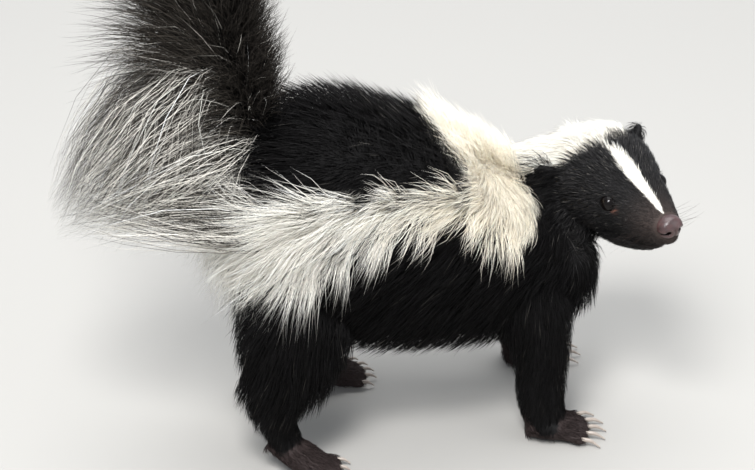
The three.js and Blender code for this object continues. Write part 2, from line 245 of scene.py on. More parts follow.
def coatMaterial(name, rough, specular, grain):
    # hair: the colour painted on each strand times 0.90 to 1.06, by a noise of that grain
    material = plain(name, (0.5, 0.5, 0.5), rough)
    tree = material.node_tree
    shader = tree.nodes["Principled BSDF"]
    shader.inputs["Specular IOR Level"].default_value = specular
    paint = addNode(tree, "ShaderNodeAttribute", attribute_name="coatColour")
    where = addNode(tree, "ShaderNodeTexCoord")
    noise = addNode(tree, "ShaderNodeTexNoise", {"Scale": grain, "Detail": 3.0})
    span = {"From Min": 0.3, "From Max": 0.7, "To Min": 0.90, "To Max": 1.06}
    level = addNode(tree, "ShaderNodeMapRange", span)
    mix = addNode(tree, "ShaderNodeMix", {"Factor": 1.0}, data_type="RGBA", blend_type="MULTIPLY")
    link = tree.links.new
    link(where.outputs["Object"], noise.inputs["Vector"])
    link(noise.outputs["Fac"], level.inputs["Value"])
    link(paint.outputs["Color"], mix.inputs[colourA])
    link(level.outputs["Result"], mix.inputs[colourB])
    link(mix.outputs[colourOut], shader.inputs["Base Color"])
    return material

def skinMaterial():
    # skin under the coat: the same painted markings, with a short nap of streaks as bump
    material = coatMaterial("coatedSkin", 0.7, 0.15, 900)
    tree = material.node_tree
    shader = tree.nodes["Principled BSDF"]
    where = addNode(tree, "ShaderNodeTexCoord")
    nap = addNode(tree, "ShaderNodeTexNoise", {"Scale": 1400.0, "Detail": 4.0, "Roughness": 0.65})
    bump = addNode(tree, "ShaderNodeBump", {"Strength": 0.5, "Distance": 0.0004})
    link = tree.links.new
    link(where.outputs["Object"], nap.inputs["Vector"])
    link(nap.outputs["Fac"], bump.inputs["Height"])
    link(bump.outputs["Normal"], shader.inputs["Normal"])
    return material

# Body under the coat; each row is x, y, z, half width, reach above, reach below
trunk = {"rows": [(-97, 0, 130, 12, 12, 14), (-90, 0, 133, 28, 28, 36), (-76, 0, 138, 38, 42, 56),
                  (-50, 0, 139, 45, 47, 75), (-15, 0, 133, 46, 43, 79), (20, 0, 121, 44, 42, 69),
                  (50, 0, 110, 39, 32, 58), (74, 0, 99, 31, 27, 44), (86, 0, 91, 21, 21, 26),
                  (92, 0, 88, 8, 8, 9)]}
neck = {"rows": [(40, 1, 102, 28, 26, 28), (60, 2, 115, 27, 26, 29), (78, 1, 129, 25, 23, 28),
                 (94, -2, 143, 23, 19, 24)]}
tailCore = {"rows": [(-78, 0, 146, 15, 14, 14), (-91, 0, 180, 11, 10, 10), (-98, 0, 212, 9, 8.5, 8.5),
                     (-105, 0, 246, 8, 7, 7), (-114, 0, 284, 6.5, 6, 6), (-126, 0, 320, 5, 4.5, 4.5),
                     (-138, 0, 346, 3.5, 3.2, 3.2), (-146, 0, 360, 1.6, 1.6, 1.6)]}
# The plume's outline round its core: half width, reach ahead and reach behind at the same places
plume = {"core": [(-84, 0, 150), (-91, 0, 180), (-98, 0, 212), (-105, 0, 246), (-114, 0, 284), (-126, 0, 320),
                  (-141, 0, 352), (-153, 0, 373), (-159, 0, 383)],
         "side": [24, 34, 42, 45, 46, 42, 33, 18, 6], "ahead": [22, 28, 34, 38, 39, 35, 27, 14, 5],
         "behind": [26, 60, 84, 85, 77, 63, 44, 22, 6]}
# The head's own frame: x forward, y to its left, z up, zero between the ears
head = {"at": np.array([92.5, -5, 145]), "turn": turned(-72, -7, 6),
        "rows": [(-22, 0, -3, 8, 7, 8), (-16, 0, -3, 19, 12, 16), (-6, 0, -4, 26, 17, 24),
                 (6, 0, -5, 27, 18, 26), (18, 0, -7, 24, 18, 24), (30, 0, -9.5, 19.5, 15.2, 20),
                 (40, 0, -12.3, 16.6, 11.8, 16.8),
                 (49, 0, -14.8, 12.9, 9.4, 14), (56, 0, -16.4, 9.9, 7.3, 11.4), (60.5, 0, -16.8, 7.7, 5.8, 9.6),
                 (64.5, 0, -17.2, 4.6, 3.8, 7.2)],
        "jaw": [(12, 0, -29, 13, 7, 8.3), (26, 0, -29, 13, 6.5, 8.8), (38, 0, -28.5, 10.8, 5.4, 8.0),
                (47, 0, -28, 8, 4.6, 6.0), (54, 0, -27, 4.2, 2.4, 2.8)]}
ear = {"base": (-3, 22, -8), "tip": (-6, 33.5, 7.5), "across": (0.8, -0.6, 0), "halfLength": 9.5,
       "halfThickness": 2.6, "share": [0, 0.35, 0.7, 0.92, 1], "widths": [0.8, 1, 0.9, 0.6, 0.25]}
legRows = {"fore": [(-6, 20, 100, 10, 13, 16), (-4, 30, 82, 13, 16, 17), (-2, 35, 62, 11.5, 13.5, 14),
                    (-1, 36, 42, 10, 12, 12), (-1, 37, 26, 9.5, 11.5, 11.5), (1, 37, 12, 9.5, 11, 10.5)],
           "hind": [(12, 18, 112, 13, 24, 19), (8, 29, 88, 17, 29, 24), (3, 34, 64, 14.5, 23, 20),
                    (-2, 36, 50, 12, 17.5, 17.5), (-4, 37, 37, 9.5, 11, 11.5), (-2, 37, 25, 8, 8, 8),
                    (1, 37, 15, 8, 8, 8)]}
legs = {"fore_right": {"kind": "fore", "side": -1, "x": 58, "shift": 0, "pawYaw": -12},
        "fore_left": {"kind": "fore", "side": 1, "x": 66, "shift": 0, "pawYaw": 6},
        "hind_right": {"kind": "hind", "side": -1, "x": -82, "shift": 0, "pawYaw": -36},
        "hind_left": {"kind": "hind", "side": 1, "x": -82, "shift": 30, "pawYaw": 8}}
paws = {"fore": {"palm": [(-8.5, 0, 9, 8, 7.2, 9), (0, 0, 8, 11.2, 7.2, 9), (10, 0, 6, 11.8, 5.4, 7),
                          (16.5, 0, 4.5, 9.2, 3.6, 5.5)],
                 "start": 12, "length": 13, "radius": 2.9, "height": 3.3, "claw": (10, 1.35, 2.2)},
        "hind": {"palm": [(-7.5, 0, 17, 7, 7.2, 7.4), (2, 0, 12, 8.8, 7.3, 8), (14, 0, 6.5, 10.3, 5.9, 7.5),
                          (23, 0, 4, 8.8, 3.4, 5)],
                 "start": 18, "length": 12, "radius": 2.75, "height": 3.1, "claw": (6.5, 1.15, 1.6)}}
# A toe's rows: share of its length, rise in mm, share of its radius
toes = {"count": 5, "spread": 38.0, "fan": 8.4, "fallShort": (-3.2, -0.8, 0, -0.8, -4.2),
        "rows": [(-0.23, 0, 0.8), (0.4, 0.9, 0.95), (0.8, -0.2, 1), (1, -0.9, 0.5)]}
skin = {"voxel": 1.4, "rounding": 5, "roundingShare": 0.5, "lowest": 0.15, "unwrapAngle": 66,
        "unwrapGap": 0.003}
# Where the face is cut finer and where it is sculpted, in the head's frame: least x, reach in y, middle and
# reach in z
finer = {"x": 24, "y": 26, "middle": -15, "z": 26}
sculpted = {"x": 20, "y": 30, "middle": -15, "z": 30}

def fromHead(points):
    # the head's own frame to the body's: turned, then moved to the head's place
    return points @ head["turn"].T + head["at"]

def toHead(points):
    # the body's frame to the head's own: moved back, then turned back
    return (points - head["at"]) @ head["turn"]

def legPath(leg):
    # the leg's rows moved to its x, swept by the shift towards the foot, and mirrored on the right
    rows = np.array(legRows[leg["kind"]], float)
    rows[:, 0] += leg["x"] + leg["shift"] * np.linspace(0, 1, len(rows))
    rows[:, 1] *= leg["side"]
    return rows

def pawPlace(leg):
    # turn and place of a paw's own frame: x towards the toes, on the floor under the ankle
    ankle = legPath(leg)[-1, :3]
    return turned(leg["pawYaw"]), np.array([ankle[0], ankle[1], 0])

def toeLine(kind, side, number):
    # start, direction and sideways place of one toe, in the paw's frame
    share = number / (toes["count"] - 1) - 0.5
    angle = math.radians(-toes["spread"] * share * side)
    start = np.array([paws[kind]["start"] + toes["fallShort"][number], -2 * toes["fan"] * share * side, 0])
    return start, np.array([math.cos(angle), math.sin(angle), 0])

def earLoft(side):
    # a thin plate from base to tip whose width follows the ear's widths and whose ends are rounded thinner
    base, tip = np.array(ear["base"], float), np.array(ear["tip"], float)
    centre = base + (tip - base) * np.array(ear["share"])[:, None]
    widths = np.array(ear["widths"])
    thickness = ear["halfThickness"] * (0.4 + 0.6 * widths)
    rows = np.column_stack([centre * [1, side, 1], ear["halfLength"] * widths, thickness, thickness])
    return loft(rows, across=mirrored(ear["across"], side), steps=16, sides=28)

def bodyParts():
    # a loft for the trunk, neck, tail, skull, jaw, ears, legs, palms and toes
    parts = [loft(trunk["rows"], facing=(1, 0, 0), steps=60, sides=64), loft(neck["rows"], steps=24, sides=48),
             loft(tailCore["rows"], steps=60, sides=28)]
    skull = loft(head["rows"], facing=(1, 0, 0), steps=60, sides=56)
    jaw = loft(head["jaw"], facing=(1, 0, 0), steps=30, sides=36)
    for points, faces in [skull, jaw, earLoft(-1), earLoft(1)]:
        parts.append((fromHead(points), faces))
    for leg in legs.values():
        paw = paws[leg["kind"]]
        turn, place = pawPlace(leg)
        parts.append(loft(legPath(leg), steps=40, sides=32))
        palm, faces = loft(paw["palm"], steps=20, sides=28)
        parts.append((palm @ turn.T + place, faces))
        for number in range(toes["count"]):
            start, along = toeLine(leg["kind"], leg["side"], number)
            r, length, height = paw["radius"], paw["length"], paw["height"]
            rows = [(*(start + along * length * s + [0, 0, height + lift]), r * k, r * k, r * k)
                    for s, lift, k in toes["rows"]]
            toe, faces = loft(rows, steps=14, sides=16)
            parts.append((toe @ turn.T + place, faces))
    return parts

def remeshed(points, faces):
    # one closed skin round all the parts, by voxels, then rounded
    piece = meshObject("skin", toRow(points), faces)
    remesh = piece.modifiers.new("weld", "REMESH")
    remesh.mode, remesh.voxel_size, remesh.use_smooth_shade = "VOXEL", skin["voxel"] * 0.001, True
    rounding = piece.modifiers.new("rounding", "SMOOTH")
    rounding.factor, rounding.iterations = skin["roundingShare"], skin["rounding"]
    bpy.context.view_layer.objects.active = piece
    for modifier in list(piece.modifiers):
        bpy.ops.object.modifier_apply(modifier=modifier.name)
    return piece

def onFace(local, zone):
    # inside a box of the head's frame: x above the least one, y and z within their reach
    near = (local[:, 0] > zone["x"]) & (np.abs(local[:, 1]) < zone["y"])
    return near & (np.abs(local[:, 2] - zone["middle"]) < zone["z"])

def refineFace(piece):
    # each face of the skin ahead of the ears is cut in four, for lids and lips
    fine = bmesh.new()
    fine.from_mesh(piece.data)
    near = onFace(toHead(fromRow(pointsOf(piece.data))), finer)
    fine.verts.ensure_lookup_table()
    edges = [e for e in fine.edges if near[e.verts[0].index] and near[e.verts[1].index]]
    bmesh.ops.subdivide_edges(fine, edges=edges, cuts=1, use_grid_fill=True, smooth=0.3)
    fine.to_mesh(piece.data)
    fine.free()

# Face details, in the head's frame
eye = {"at": (32.6, 15.1, -7.0), "radius": 4.7, "looks": (0.46, 0.85, 0.24), "halfLength": 4.8,
       "halfHeight": 3.9, "lid": 0.35, "corner": (37.6, 15.4, -9.6), "cornerReach": 2.4}
lids = {"reach": 13, "behind": -6, "hug": (1.25, 2.3), "edge": (0.8, 1.1), "opening": (0.82, 1.04),
        "sink": -1.5, "brow": 0.9, "browOut": 8.0, "browWidth": 2.4}
mouth = {"from": 60.0, "to": 31.0, "depth": 1.0, "width": 0.8, "level": -28.4, "dip": 1.8, "corner": 1.8}
# Lips: height, place above the mouth line and width. Pads: place and half width in x and z, height, gap between
lips = {"upper": (0.5, 2.0, 1.3), "lower": (0.35, -1.8, 1.2)}
muzzlePads = {"at": (51, -21), "half": (6, 4.5), "height": 0.9, "apart": 2}
noseShape = {"at": (62.2, 0, -16.0), "half": (6.2, 7.1, 5.8)}

def mouthHeight(x):
    # the mouth line dips under the nose, runs back level and turns up a little at its corner
    return mouth["level"] + mouth["dip"] * smooth(50, 60, x) + mouth["corner"] * smooth(44, 32, x)

def eyeFrame(side):
    # one eye's centre, the direction it looks, the level direction and the rising one
    axis = unit(mirrored(eye["looks"], side))
    level = unit(np.cross([0, 0, 1.0], axis))
    return mirrored(eye["at"], side), axis, level, np.cross(axis, level)

def sculptFace(local, normal):
    # lids hug the eyeball round an almond opening that is sunk behind it, under a brow; then along the normals
    # the mouth is a groove between two lips, and the pads beside the nose are low hills
    moved = local.copy()
    for side in (-1, 1):
        centre, axis, level, rise = eyeFrame(side)
        v = moved - centre
        out, h, k = v @ axis, v @ level, v @ rise
        reach = np.hypot(h, k)
        q = np.hypot(h / eye["halfLength"], k / eye["halfHeight"])   # 1 on the rim of the opening
        front = (out > lids["behind"]) & (reach < lids["reach"])
        ball = eye["radius"] + eye["lid"]
        lidOut = np.sqrt(np.maximum(ball ** 2 - reach ** 2, 0))
        hug = (1 - smooth(*lids["hug"], q)) * front * (reach < ball)
        moved += axis * ((np.maximum(out, lidOut) - out) * hug)[:, None] * smooth(*lids["edge"], q)[:, None]
        sink = (1 - smooth(*lids["opening"], q)) * front
        moved += axis * ((lids["sink"] - out) * sink)[:, None]
        brow = lids["brow"] * bump(reach - lids["browOut"], lids["browWidth"])
        moved += axis * (brow * np.clip(k / lids["browOut"], -0.4, 1) * front)[:, None]
    x, y, z = moved.T
    below = (normal[:, 2] < 0.75) & (x > mouth["to"] - 3) & (x < mouth["from"] + 4)
    gap = z - mouthHeight(x)
    ends = smooth(mouth["to"] - 2, mouth["to"] + 4, x)
    groove = bump(gap, mouth["width"]) * mouth["depth"]
    lip = sum(height * bump(gap - above, width) for height, above, width in lips.values())
    moved += normal * ((lip - groove) * ends * below)[:, None]
    (padX, padZ), (halfX, halfZ) = muzzlePads["at"], muzzlePads["half"]
    pad = np.exp(-(((x - padX) / halfX) ** 2 + ((z - padZ) / halfZ) ** 2)) * (np.abs(y) > muzzlePads["apart"])
    moved += normal * (muzzlePads["height"] * pad)[:, None]
    return moved

def makeSkin():
    # the lofts welded into one skin, cut finer and sculpted on the face, kept above the floor and unwrapped
    piece = remeshed(*joined(bodyParts()))
    refineFace(piece)
    points, normals = fromRow(pointsOf(piece.data)), pointsOf(piece.data, "normal")
    local, facing = toHead(points), normals @ head["turn"]
    face = onFace(local, sculpted)
    local[face] = sculptFace(local[face], facing[face])
    points = fromHead(local)
    points[:, 2] = np.maximum(points[:, 2], skin["lowest"])
    piece.data.vertices.foreach_set("co", toRow(points).astype(np.float32).ravel())
    piece.data.update()
    bpy.ops.object.select_all(action="DESELECT")
    piece.select_set(True)
    bpy.context.view_layer.objects.active = piece
    piece.data.uv_layers.new(name="OFBake")
    bpy.ops.object.mode_set(mode="EDIT")
    bpy.ops.mesh.select_all(action="SELECT")
    bpy.ops.uv.smart_project(angle_limit=math.radians(skin["unwrapAngle"]), island_margin=skin["unwrapGap"])
    bpy.ops.object.mode_set(mode="OBJECT")
    fleshNodes = [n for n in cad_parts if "claw" not in n and not n.startswith("eye") and n != "nose"]
    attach(piece, "root")
    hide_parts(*fleshNodes)
    print("skin:", len(piece.data.polygons), "faces")
    return piece

# Where a point of the skin lies on the body
def pathSamples():
    # points along each part's path, with the part's radius, its number and the share of the way
    paths = {"trunk": np.array(trunk["rows"], float), "neck": np.array(neck["rows"], float),
             "tail": np.array(tailCore["rows"], float)}
    skull = np.array(head["rows"], float)
    skull[:, :3] = fromHead(skull[:, :3])
    paths["head"] = skull
    for name, leg in legs.items():
        paths[name] = legPath(leg)
        turn, place = pawPlace(leg)
        palm = np.array(paws[leg["kind"]]["palm"], float)
        reach = palm[-1].copy()
        reach[:3] += [13, 0, -1.0]   # on over the toes
        palm = np.vstack([palm, reach])
        palm[:, :3] = palm[:, :3] @ turn.T + place
        paths[name + "_paw"] = palm
    t = np.linspace(0, 1, 50)
    out = []
    for number, (name, rows) in enumerate(paths.items()):
        centre = through(rows[:, :3], t)
        radius = np.maximum(through(rows[:, 3:6].mean(1), t), 2.0)
        along = unit(np.gradient(centre, axis=0))
        out.append((name, centre, radius, along, np.full(50, number)))
    return list(paths), out, t

partNames, samples, sampleShare = pathSamples()

def nearestPart(points):
    # for each point the part with the least distance / radius, the share along its path and its direction
    centre, radius, along, number = (np.concatenate([s[k] for s in samples]) for k in (1, 2, 3, 4))
    share = np.tile(sampleShare, len(samples))
    best = np.zeros(len(points), int)
    for start in range(0, len(points), 8000):
        part = points[start:start + 8000]
        gap = np.linalg.norm(part[:, None] - centre[None], axis=2) / radius[None]
        best[start:start + 8000] = gap.argmin(1)
    return number[best], share[best], along[best]

def trunkAngle(points):
    # degrees round the trunk from the middle of the back, 0, to the middle of the belly, 180
    rows = np.array(trunk["rows"], float)
    x, y, z = points.T
    middle, side, up, down = (np.interp(x, rows[:, 0], rows[:, k]) for k in (2, 3, 4, 5))
    rise = np.where(z > middle, (z - middle) / up, (z - middle) / down)
    return np.degrees(np.arctan2(np.abs(y) / side, rise))

# Coat markings: 1 where white. The band's edges are angles round the trunk at places along it.
stripe = {"x": [-104, -87, -60, -42, -14, 4, 22], "inner": [44, 60, 64, 62, 58, 53, 50],
          "frontAngle": [0, 7, 19, 25, 33, 45, 60], "front": [4, 6, 10, 14, 17, 18, 18],
          "outerX": [-104, -80, -55, -35, -16, 5, 30, 50, 62], "outer": [114, 108, 92, 82, 74, 67, 66, 65, 62]}
blaze = {"x": [15, 20, 30, 42, 54, 58.5], "half": [1.2, 3.2, 3.8, 2.8, 1.4, 0.2],
         "aside": [1.8, 1.8, 1.4, 0.9, 0.3, 0]}
nape = {"x": [40, 50, 60, 70, 82, 100], "half": [84, 76, 64, 56, 50, 44],
        "crownX": [-28, -16, -8, -1, 3, 7], "crownHalf": [34, 29, 22, 13, 6, 0],
        "aside": [0, 10, 20, 31, 36, 42], "front": [8, 6, 3, -1, -3, 2]}

def onEar(local):
    # within the plate of the ear: near its plane, its length and its height
    base, tip = np.array(ear["base"], float), np.array(ear["tip"], float)
    up, across = unit(tip - base), np.array(ear["across"])
    gap = local * sideSigns(local) - base
    height = gap @ up
    inPlane = (np.abs(gap @ np.cross(up, across)) < 3.6) & (np.abs(gap @ across) < 10)
    return inPlane & (height > 3) & (height < 20)

def whiteness(points):
    # 1 inside the bands over the body, neck, crown and face, 0 outside; their edges are S curves shifted by
    # two sine waves
    x, y, z = points.T
    local = toHead(points)
    forward, sideways, upward = local[:, 0], np.abs(local[:, 1]), local[:, 2]
    wobble = 2.5 * np.sin(x * 0.31 + y * 0.22) + 2.0 * np.sin(z * 0.43 - x * 0.17)
    angle = trunkAngle(points) + wobble
    inner = np.interp(x, stripe["x"], stripe["inner"])
    outer = np.interp(x, stripe["outerX"], stripe["outer"])
    front = np.interp(angle, stripe["frontAngle"], stripe["front"])
    saddle = smooth(4, -4, angle - inner) * smooth(4, -4, x - front)   # the black back between the bands
    body = (1 - saddle) * smooth(-3, 3, outer - angle) * smooth(3, -3, x - 52) * (z > 60)
    neckRows = np.array(neck["rows"], float)
    middle = np.stack([np.interp(x, neckRows[:, 0], neckRows[:, k]) for k in (1, 2)], 1)
    neckAngle = np.degrees(np.arctan2(np.abs(y - middle[:, 0]), z - middle[:, 1])) + wobble
    overNeck = smooth(-3, 3, np.interp(x, nape["x"], nape["half"]) - neckAngle)
    overNeck *= smooth(38, 44, x) * (z > 100) * (upward > 4)
    overNeck *= smooth(2, -2, forward - np.interp(sideways, nape["aside"], nape["front"]))
    crown = smooth(-0.8, 0.8, np.interp(forward, nape["crownX"], nape["crownHalf"]) - sideways + 0.2 * wobble)
    crown = crown * (upward > 0) * (x > 60) * (forward > -32)
    backOfHead = np.maximum(overNeck, crown) * ~onEar(local)
    width = np.interp(forward, blaze["x"], blaze["half"], left=0, right=0)
    gap = np.abs(local[:, 1] - np.interp(forward, blaze["x"], blaze["aside"])) - width
    overFace = smooth(0.5, -0.5, gap + 0.12 * wobble) * (upward > -12) * (width > 0)
    return np.clip(np.maximum.reduce([body, backOfHead, overFace]), 0, 1)

# Colours of hair and skin
colours = {"black": (0.0075, 0.0070, 0.0072), "blackTip": (0.011, 0.0105, 0.0105), "white": (0.95, 0.905, 0.82),
           "whiteTip": (0.97, 0.945, 0.885), "warm": (0.96, 0.86, 0.69), "muzzle": (0.034, 0.025, 0.022),
           "paw": (0.030, 0.022, 0.021), "greyTip": (0.20, 0.185, 0.165), "lid": (0.11, 0.052, 0.038),
           "brownTip": (0.026, 0.022, 0.018), "smoke": (0.13, 0.115, 0.095)}
colours = {name: np.array(rgb) for name, rgb in colours.items()}

# Coat: how the hair lies on each part. Lengths are in mm, lifts in degrees, angles in degrees round the trunk.
trunkLay = {"low": (62, 135), "rump": (-62, -92), "top": (75, 25), "belly": (90, 150), "chest": (40, 85),
            "middle": (-25, 25), "rear": (-30, -75), "length": 27, "bellyLess": 6, "whiteMore": 3,
            "whiteRearMore": 9, "rumpMore": 10, "chestShare": 0.28, "topShare": 0.3, "lift": 22,
            "topLift": 18, "rumpLift": 10, "bellyLift": 2}
neckLay = {"length": 16, "whiteMore": 6, "front": (60, 82), "frontShare": 0.42, "lift": 24, "whiteLift": 3}
slopeLay = {"facing": (0.3, 0.65), "angle": (7, 25), "least": (25, 85), "towards": (-0.2, 0.3, -1),
            "length": 17, "lift": 13}
tailLay = {"length": 40, "lift": 50}
headLay = {"x": [-16, -4, 8, 20, 32, 44, 54, 64], "length": [11, 9.5, 8.0, 6.2, 4.4, 3.6, 2.6, 1.8],
           "liftX": [-16, 8, 20, 40, 60], "lift": [28, 25, 20, 15, 12], "aside": 0.25, "down": -0.12}
earLay = {"length": 5.0, "lift": 26}
legLay = {"share": [0, 0.3, 0.55, 0.8, 1], "fore": [20, 17, 13, 9, 6.5], "hind": [27, 23, 16, 9.5, 6],
          "liftShare": [0, 0.5, 1], "lift": [20, 17, 13]}
pawLay = {"share": [0, 0.5, 1], "length": [5.5, 4.0, 2.4], "lift": 12}

def layOfCoat(points, normals):
    # direction, length and lift of the hair at each point of the skin: on the trunk back and more and more down
    # towards the belly, on neck, legs and paws along their paths, on the head back from the nose, on ears up
    number, share, along = nearestPart(points)
    name = np.array(partNames)[number]
    x, y, z = points.T
    local = toHead(points)
    onJaw = (local[:, 0] > 8) & (np.abs(local[:, 1]) < 30) & (local[:, 2] > -44) & (local[:, 0] < 70)
    name[onJaw & np.isin(name, ["neck", "trunk"])] = "head"
    side = np.sign(y + 1e-6)
    angle = trunkAngle(points)
    direction = np.tile([-1.0, 0, -0.3], (len(points), 1))
    length = np.full(len(points), 22.0)
    lift = np.full(len(points), 30.0)
    white = whiteness(points)
    on, lay = name == "trunk", trunkLay
    low, top = smooth(*lay["low"], angle[on]), smooth(*lay["top"], angle[on])
    rump, rear = smooth(*lay["rump"], x[on]), smooth(*lay["rear"], x[on])
    upwards = -0.10 - 0.75 * low + 0.35 * top * rump
    direction[on] = np.stack([-1 + 0.5 * rump * low, 0.15 * side[on], upwards], 1)
    length[on] = (lay["length"] - lay["bellyLess"] * smooth(*lay["belly"], angle[on])
                  + (lay["whiteMore"] + lay["whiteRearMore"] * rear) * white[on] + lay["rumpMore"] * rump)
    length[on] *= ((1 - lay["chestShare"] * smooth(*lay["chest"], x[on]))
                   * (1 - lay["topShare"] * smooth(*lay["middle"], x[on]) * top))
    lift[on] = (lay["lift"] + lay["topLift"] * top + lay["rumpLift"] * top * rump
                + lay["bellyLift"] * smooth(130, 170, angle[on]))
    on, lay = name == "neck", neckLay
    direction[on] = -along[on] + np.array([0, 0, -0.35])
    length[on] = lay["length"] + lay["whiteMore"] * white[on]
    length[on] *= 1 - lay["frontShare"] * smooth(*lay["front"], x[on])
    lift[on] = lay["lift"] + lay["whiteLift"] * white[on]
    # the front slope of the shoulder lies flat and downwards
    lay = slopeLay
    slope = np.isin(name, ["trunk", "neck"]) * smooth(*lay["facing"], normals[:, 0])
    slope = slope * smooth(*lay["angle"], angle)
    slope = slope * (z > lay["least"][1]) * (x > lay["least"][0])
    downwards = np.array(lay["towards"]) * np.stack([np.ones(len(side)), side, np.ones(len(side))], 1)
    direction = unit(direction) * (1 - slope)[:, None] + downwards * slope[:, None]
    length = length * (1 - slope) + lay["length"] * slope
    lift = lift * (1 - slope) + lay["lift"] * slope
    on = name == "tail"
    direction[on], length[on], lift[on] = along[on], tailLay["length"], tailLay["lift"]
    on, lay = name == "head", headLay
    ones = np.ones(on.sum())
    back = np.stack([-ones, lay["aside"] * np.sign(local[on, 1]), ones * lay["down"]], 1)
    direction[on] = back @ head["turn"].T
    length[on] = np.interp(local[on, 0], lay["x"], lay["length"])
    lift[on] = np.interp(local[on, 0], lay["liftX"], lay["lift"])
    isEar = on & (np.abs(local[:, 1]) > 25) & (local[:, 2] > -8) & (local[:, 0] < 10)
    rising = (np.array(ear["tip"], float) - np.array(ear["base"], float)) * sideSigns(local)
    direction[isEar] = (unit(rising) @ head["turn"].T)[isEar]
    length[isEar], lift[isEar] = earLay["length"], earLay["lift"]
    for leg in legs:
        on, lay = name == leg, legLay
        direction[on] = along[on] + np.array([-0.35, 0, -0.2])
        length[on] = np.interp(share[on], lay["share"], lay[legs[leg]["kind"]])
        lift[on] = np.interp(share[on], lay["liftShare"], lay["lift"])
        on, lay = name == leg + "_paw", pawLay
        direction[on] = along[on] + np.array([0, 0, -0.1])
        length[on] = np.interp(share[on], lay["share"], lay["length"])
        lift[on] = lay["lift"]
    return name, share, unit(direction), length, lift, white

evening = {"own": 0.4, "around": 0.6, "rounds": 8, "bodyRounds": 40}   # shares and rounds of the mean

def neighbourMean(edges, field, normals, rounds):
    # the field averaged with each vertex's neighbours, again and again, its direction kept in the skin's plane
    count = len(field)
    a, b = edges.T
    ends, starts = np.concatenate([a, b]), np.concatenate([b, a])
    number = np.maximum(np.bincount(ends, minlength=count), 1)
    for _ in range(rounds):
        around = [np.bincount(ends, field[starts, k], count) / number for k in range(field.shape[1])]
        field = evening["own"] * field + evening["around"] * np.stack(around, 1)
        field[:, :3] -= normals * (field[:, :3] * normals).sum(1, keepdims=True)
    return field

def readSkin(piece):
    # the skin's triangles, with the lay of the coat at every vertex and the unwrap at every corner
    mesh = piece.data
    mesh.calc_loop_triangles()
    corners = np.zeros(len(mesh.loop_triangles) * 3, np.int32)
    mesh.loop_triangles.foreach_get("vertices", corners)
    loops = np.zeros(len(mesh.loop_triangles) * 3, np.int32)
    mesh.loop_triangles.foreach_get("loops", loops)
    uv = np.zeros(len(mesh.loops) * 2, np.float32)
    mesh.uv_layers["OFBake"].data.foreach_get("uv", uv)
    edges = np.zeros(len(mesh.edges) * 2, np.int32)
    mesh.edges.foreach_get("vertices", edges)
    points = fromRow(pointsOf(mesh))
    normals = pointsOf(mesh, "normal")
    name, share, direction, length, lift, white = layOfCoat(points, normals)
    field = np.concatenate([direction, length[:, None], lift[:, None]], 1)
    field = neighbourMean(edges.reshape(-1, 2), field, normals, evening["rounds"])
    # a wider mean on the body and neck
    even = neighbourMean(edges.reshape(-1, 2), field, normals, evening["bodyRounds"])
    onBody = np.isin(name, ["trunk", "neck"])[:, None] * smooth(0, -14, toHead(points)[:, 0])[:, None]
    field = field * (1 - onBody) + even * onBody
    return {"points": points, "normals": normals, "corners": corners.reshape(-1, 3),
            "uv": uv.reshape(-1, 2)[loops].reshape(-1, 3, 2), "direction": field[:, :3], "length": field[:, 3],
            "lift": field[:, 4], "part": name, "share": share, "white": white}

def sow(data, weight, count):
    # roots spread over the triangles by area * mean weight of the corners; what a root knows is the mean of its
    # corners' values by (1 - sqrt r1), sqrt r1 * (1 - r2) and sqrt r1 * r2 for two random numbers r1 and r2
    tri = data["corners"]
    p = data["points"][tri]
    area = np.linalg.norm(np.cross(p[:, 1] - p[:, 0], p[:, 2] - p[:, 0]), axis=1) * weight[tri].mean(1)
    total = np.cumsum(area)
    spot = (np.arange(count) + rng.random(count)) / count * total[-1]
    face = np.minimum(np.searchsorted(total, spot), len(area) - 1)
    r1, r2 = np.sqrt(rng.random(count)), rng.random(count)
    share = np.stack([1 - r1, r1 * (1 - r2), r1 * r2], 1)
    mixed = lambda field: (field[tri[face]] * share.reshape(share.shape + (1,) * (field.ndim - 1))).sum(1)
    roots = {key: mixed(data[key]) for key in ("points", "normals", "direction", "length", "lift")}
    roots["normals"] = unit(roots["normals"])
    roots["uv"] = (data["uv"][face] * share[..., None]).sum(1)
    nearest = tri[face, share.argmax(1)]
    roots["part"], roots["share"] = data["part"][nearest], data["share"][nearest]
    roots["white"] = whiteness(roots["points"])
    return roots

def onPaw(parts):
    # 1 for a paw, 0 for anything else
    return np.array([part.endswith("_paw") for part in parts])

# The skin's colours as shares of the coat's, the white one darker as painted shade between the hairs; the
# ranges are in mm in the head's frame
skinPaint = {"white": 0.9, "tail": 1.5, "muzzle": 1.3, "muzzleX": (38, 60), "paw": 1.3, "corner": (1.5, 0.4)}

def paintSkin(piece, data):
    # the skin takes the coat's markings, the white a little darker as painted shade between the hairs, and bare
    # brown on muzzle, paws and the eyes' corners:
    # colour = this * (1 - share) + that * share, one layer over the other
    white = data["white"][:, None]
    # painted shade: the skin under white hair is 0.9 as bright as the hair, for the shade between the hairs
    rgb = colours["black"] * (1 - white) + colours["white"] * skinPaint["white"] * white
    rgb = np.where((data["part"] == "tail")[:, None], colours["black"] * skinPaint["tail"], rgb)
    local = toHead(data["points"])
    muzzle = (smooth(*skinPaint["muzzleX"], local[:, 0]) * (data["part"] == "head"))[:, None] * (1 - white)
    rgb = rgb * (1 - muzzle) + colours["muzzle"] * skinPaint["muzzle"] * muzzle
    for side in (-1, 1):
        gap = np.linalg.norm(local - mirrored(eye["corner"], side), axis=1)
        bare = smooth(*(eye["cornerReach"] * k for k in skinPaint["corner"]), gap)[:, None]
        rgb = rgb * (1 - bare) + colours["lid"] * bare
    rgb = np.where(onPaw(data["part"])[:, None], colours["paw"] * skinPaint["paw"], rgb)
    paintPoints(piece.data, "coatColour", rgb)
    print("skin painted")

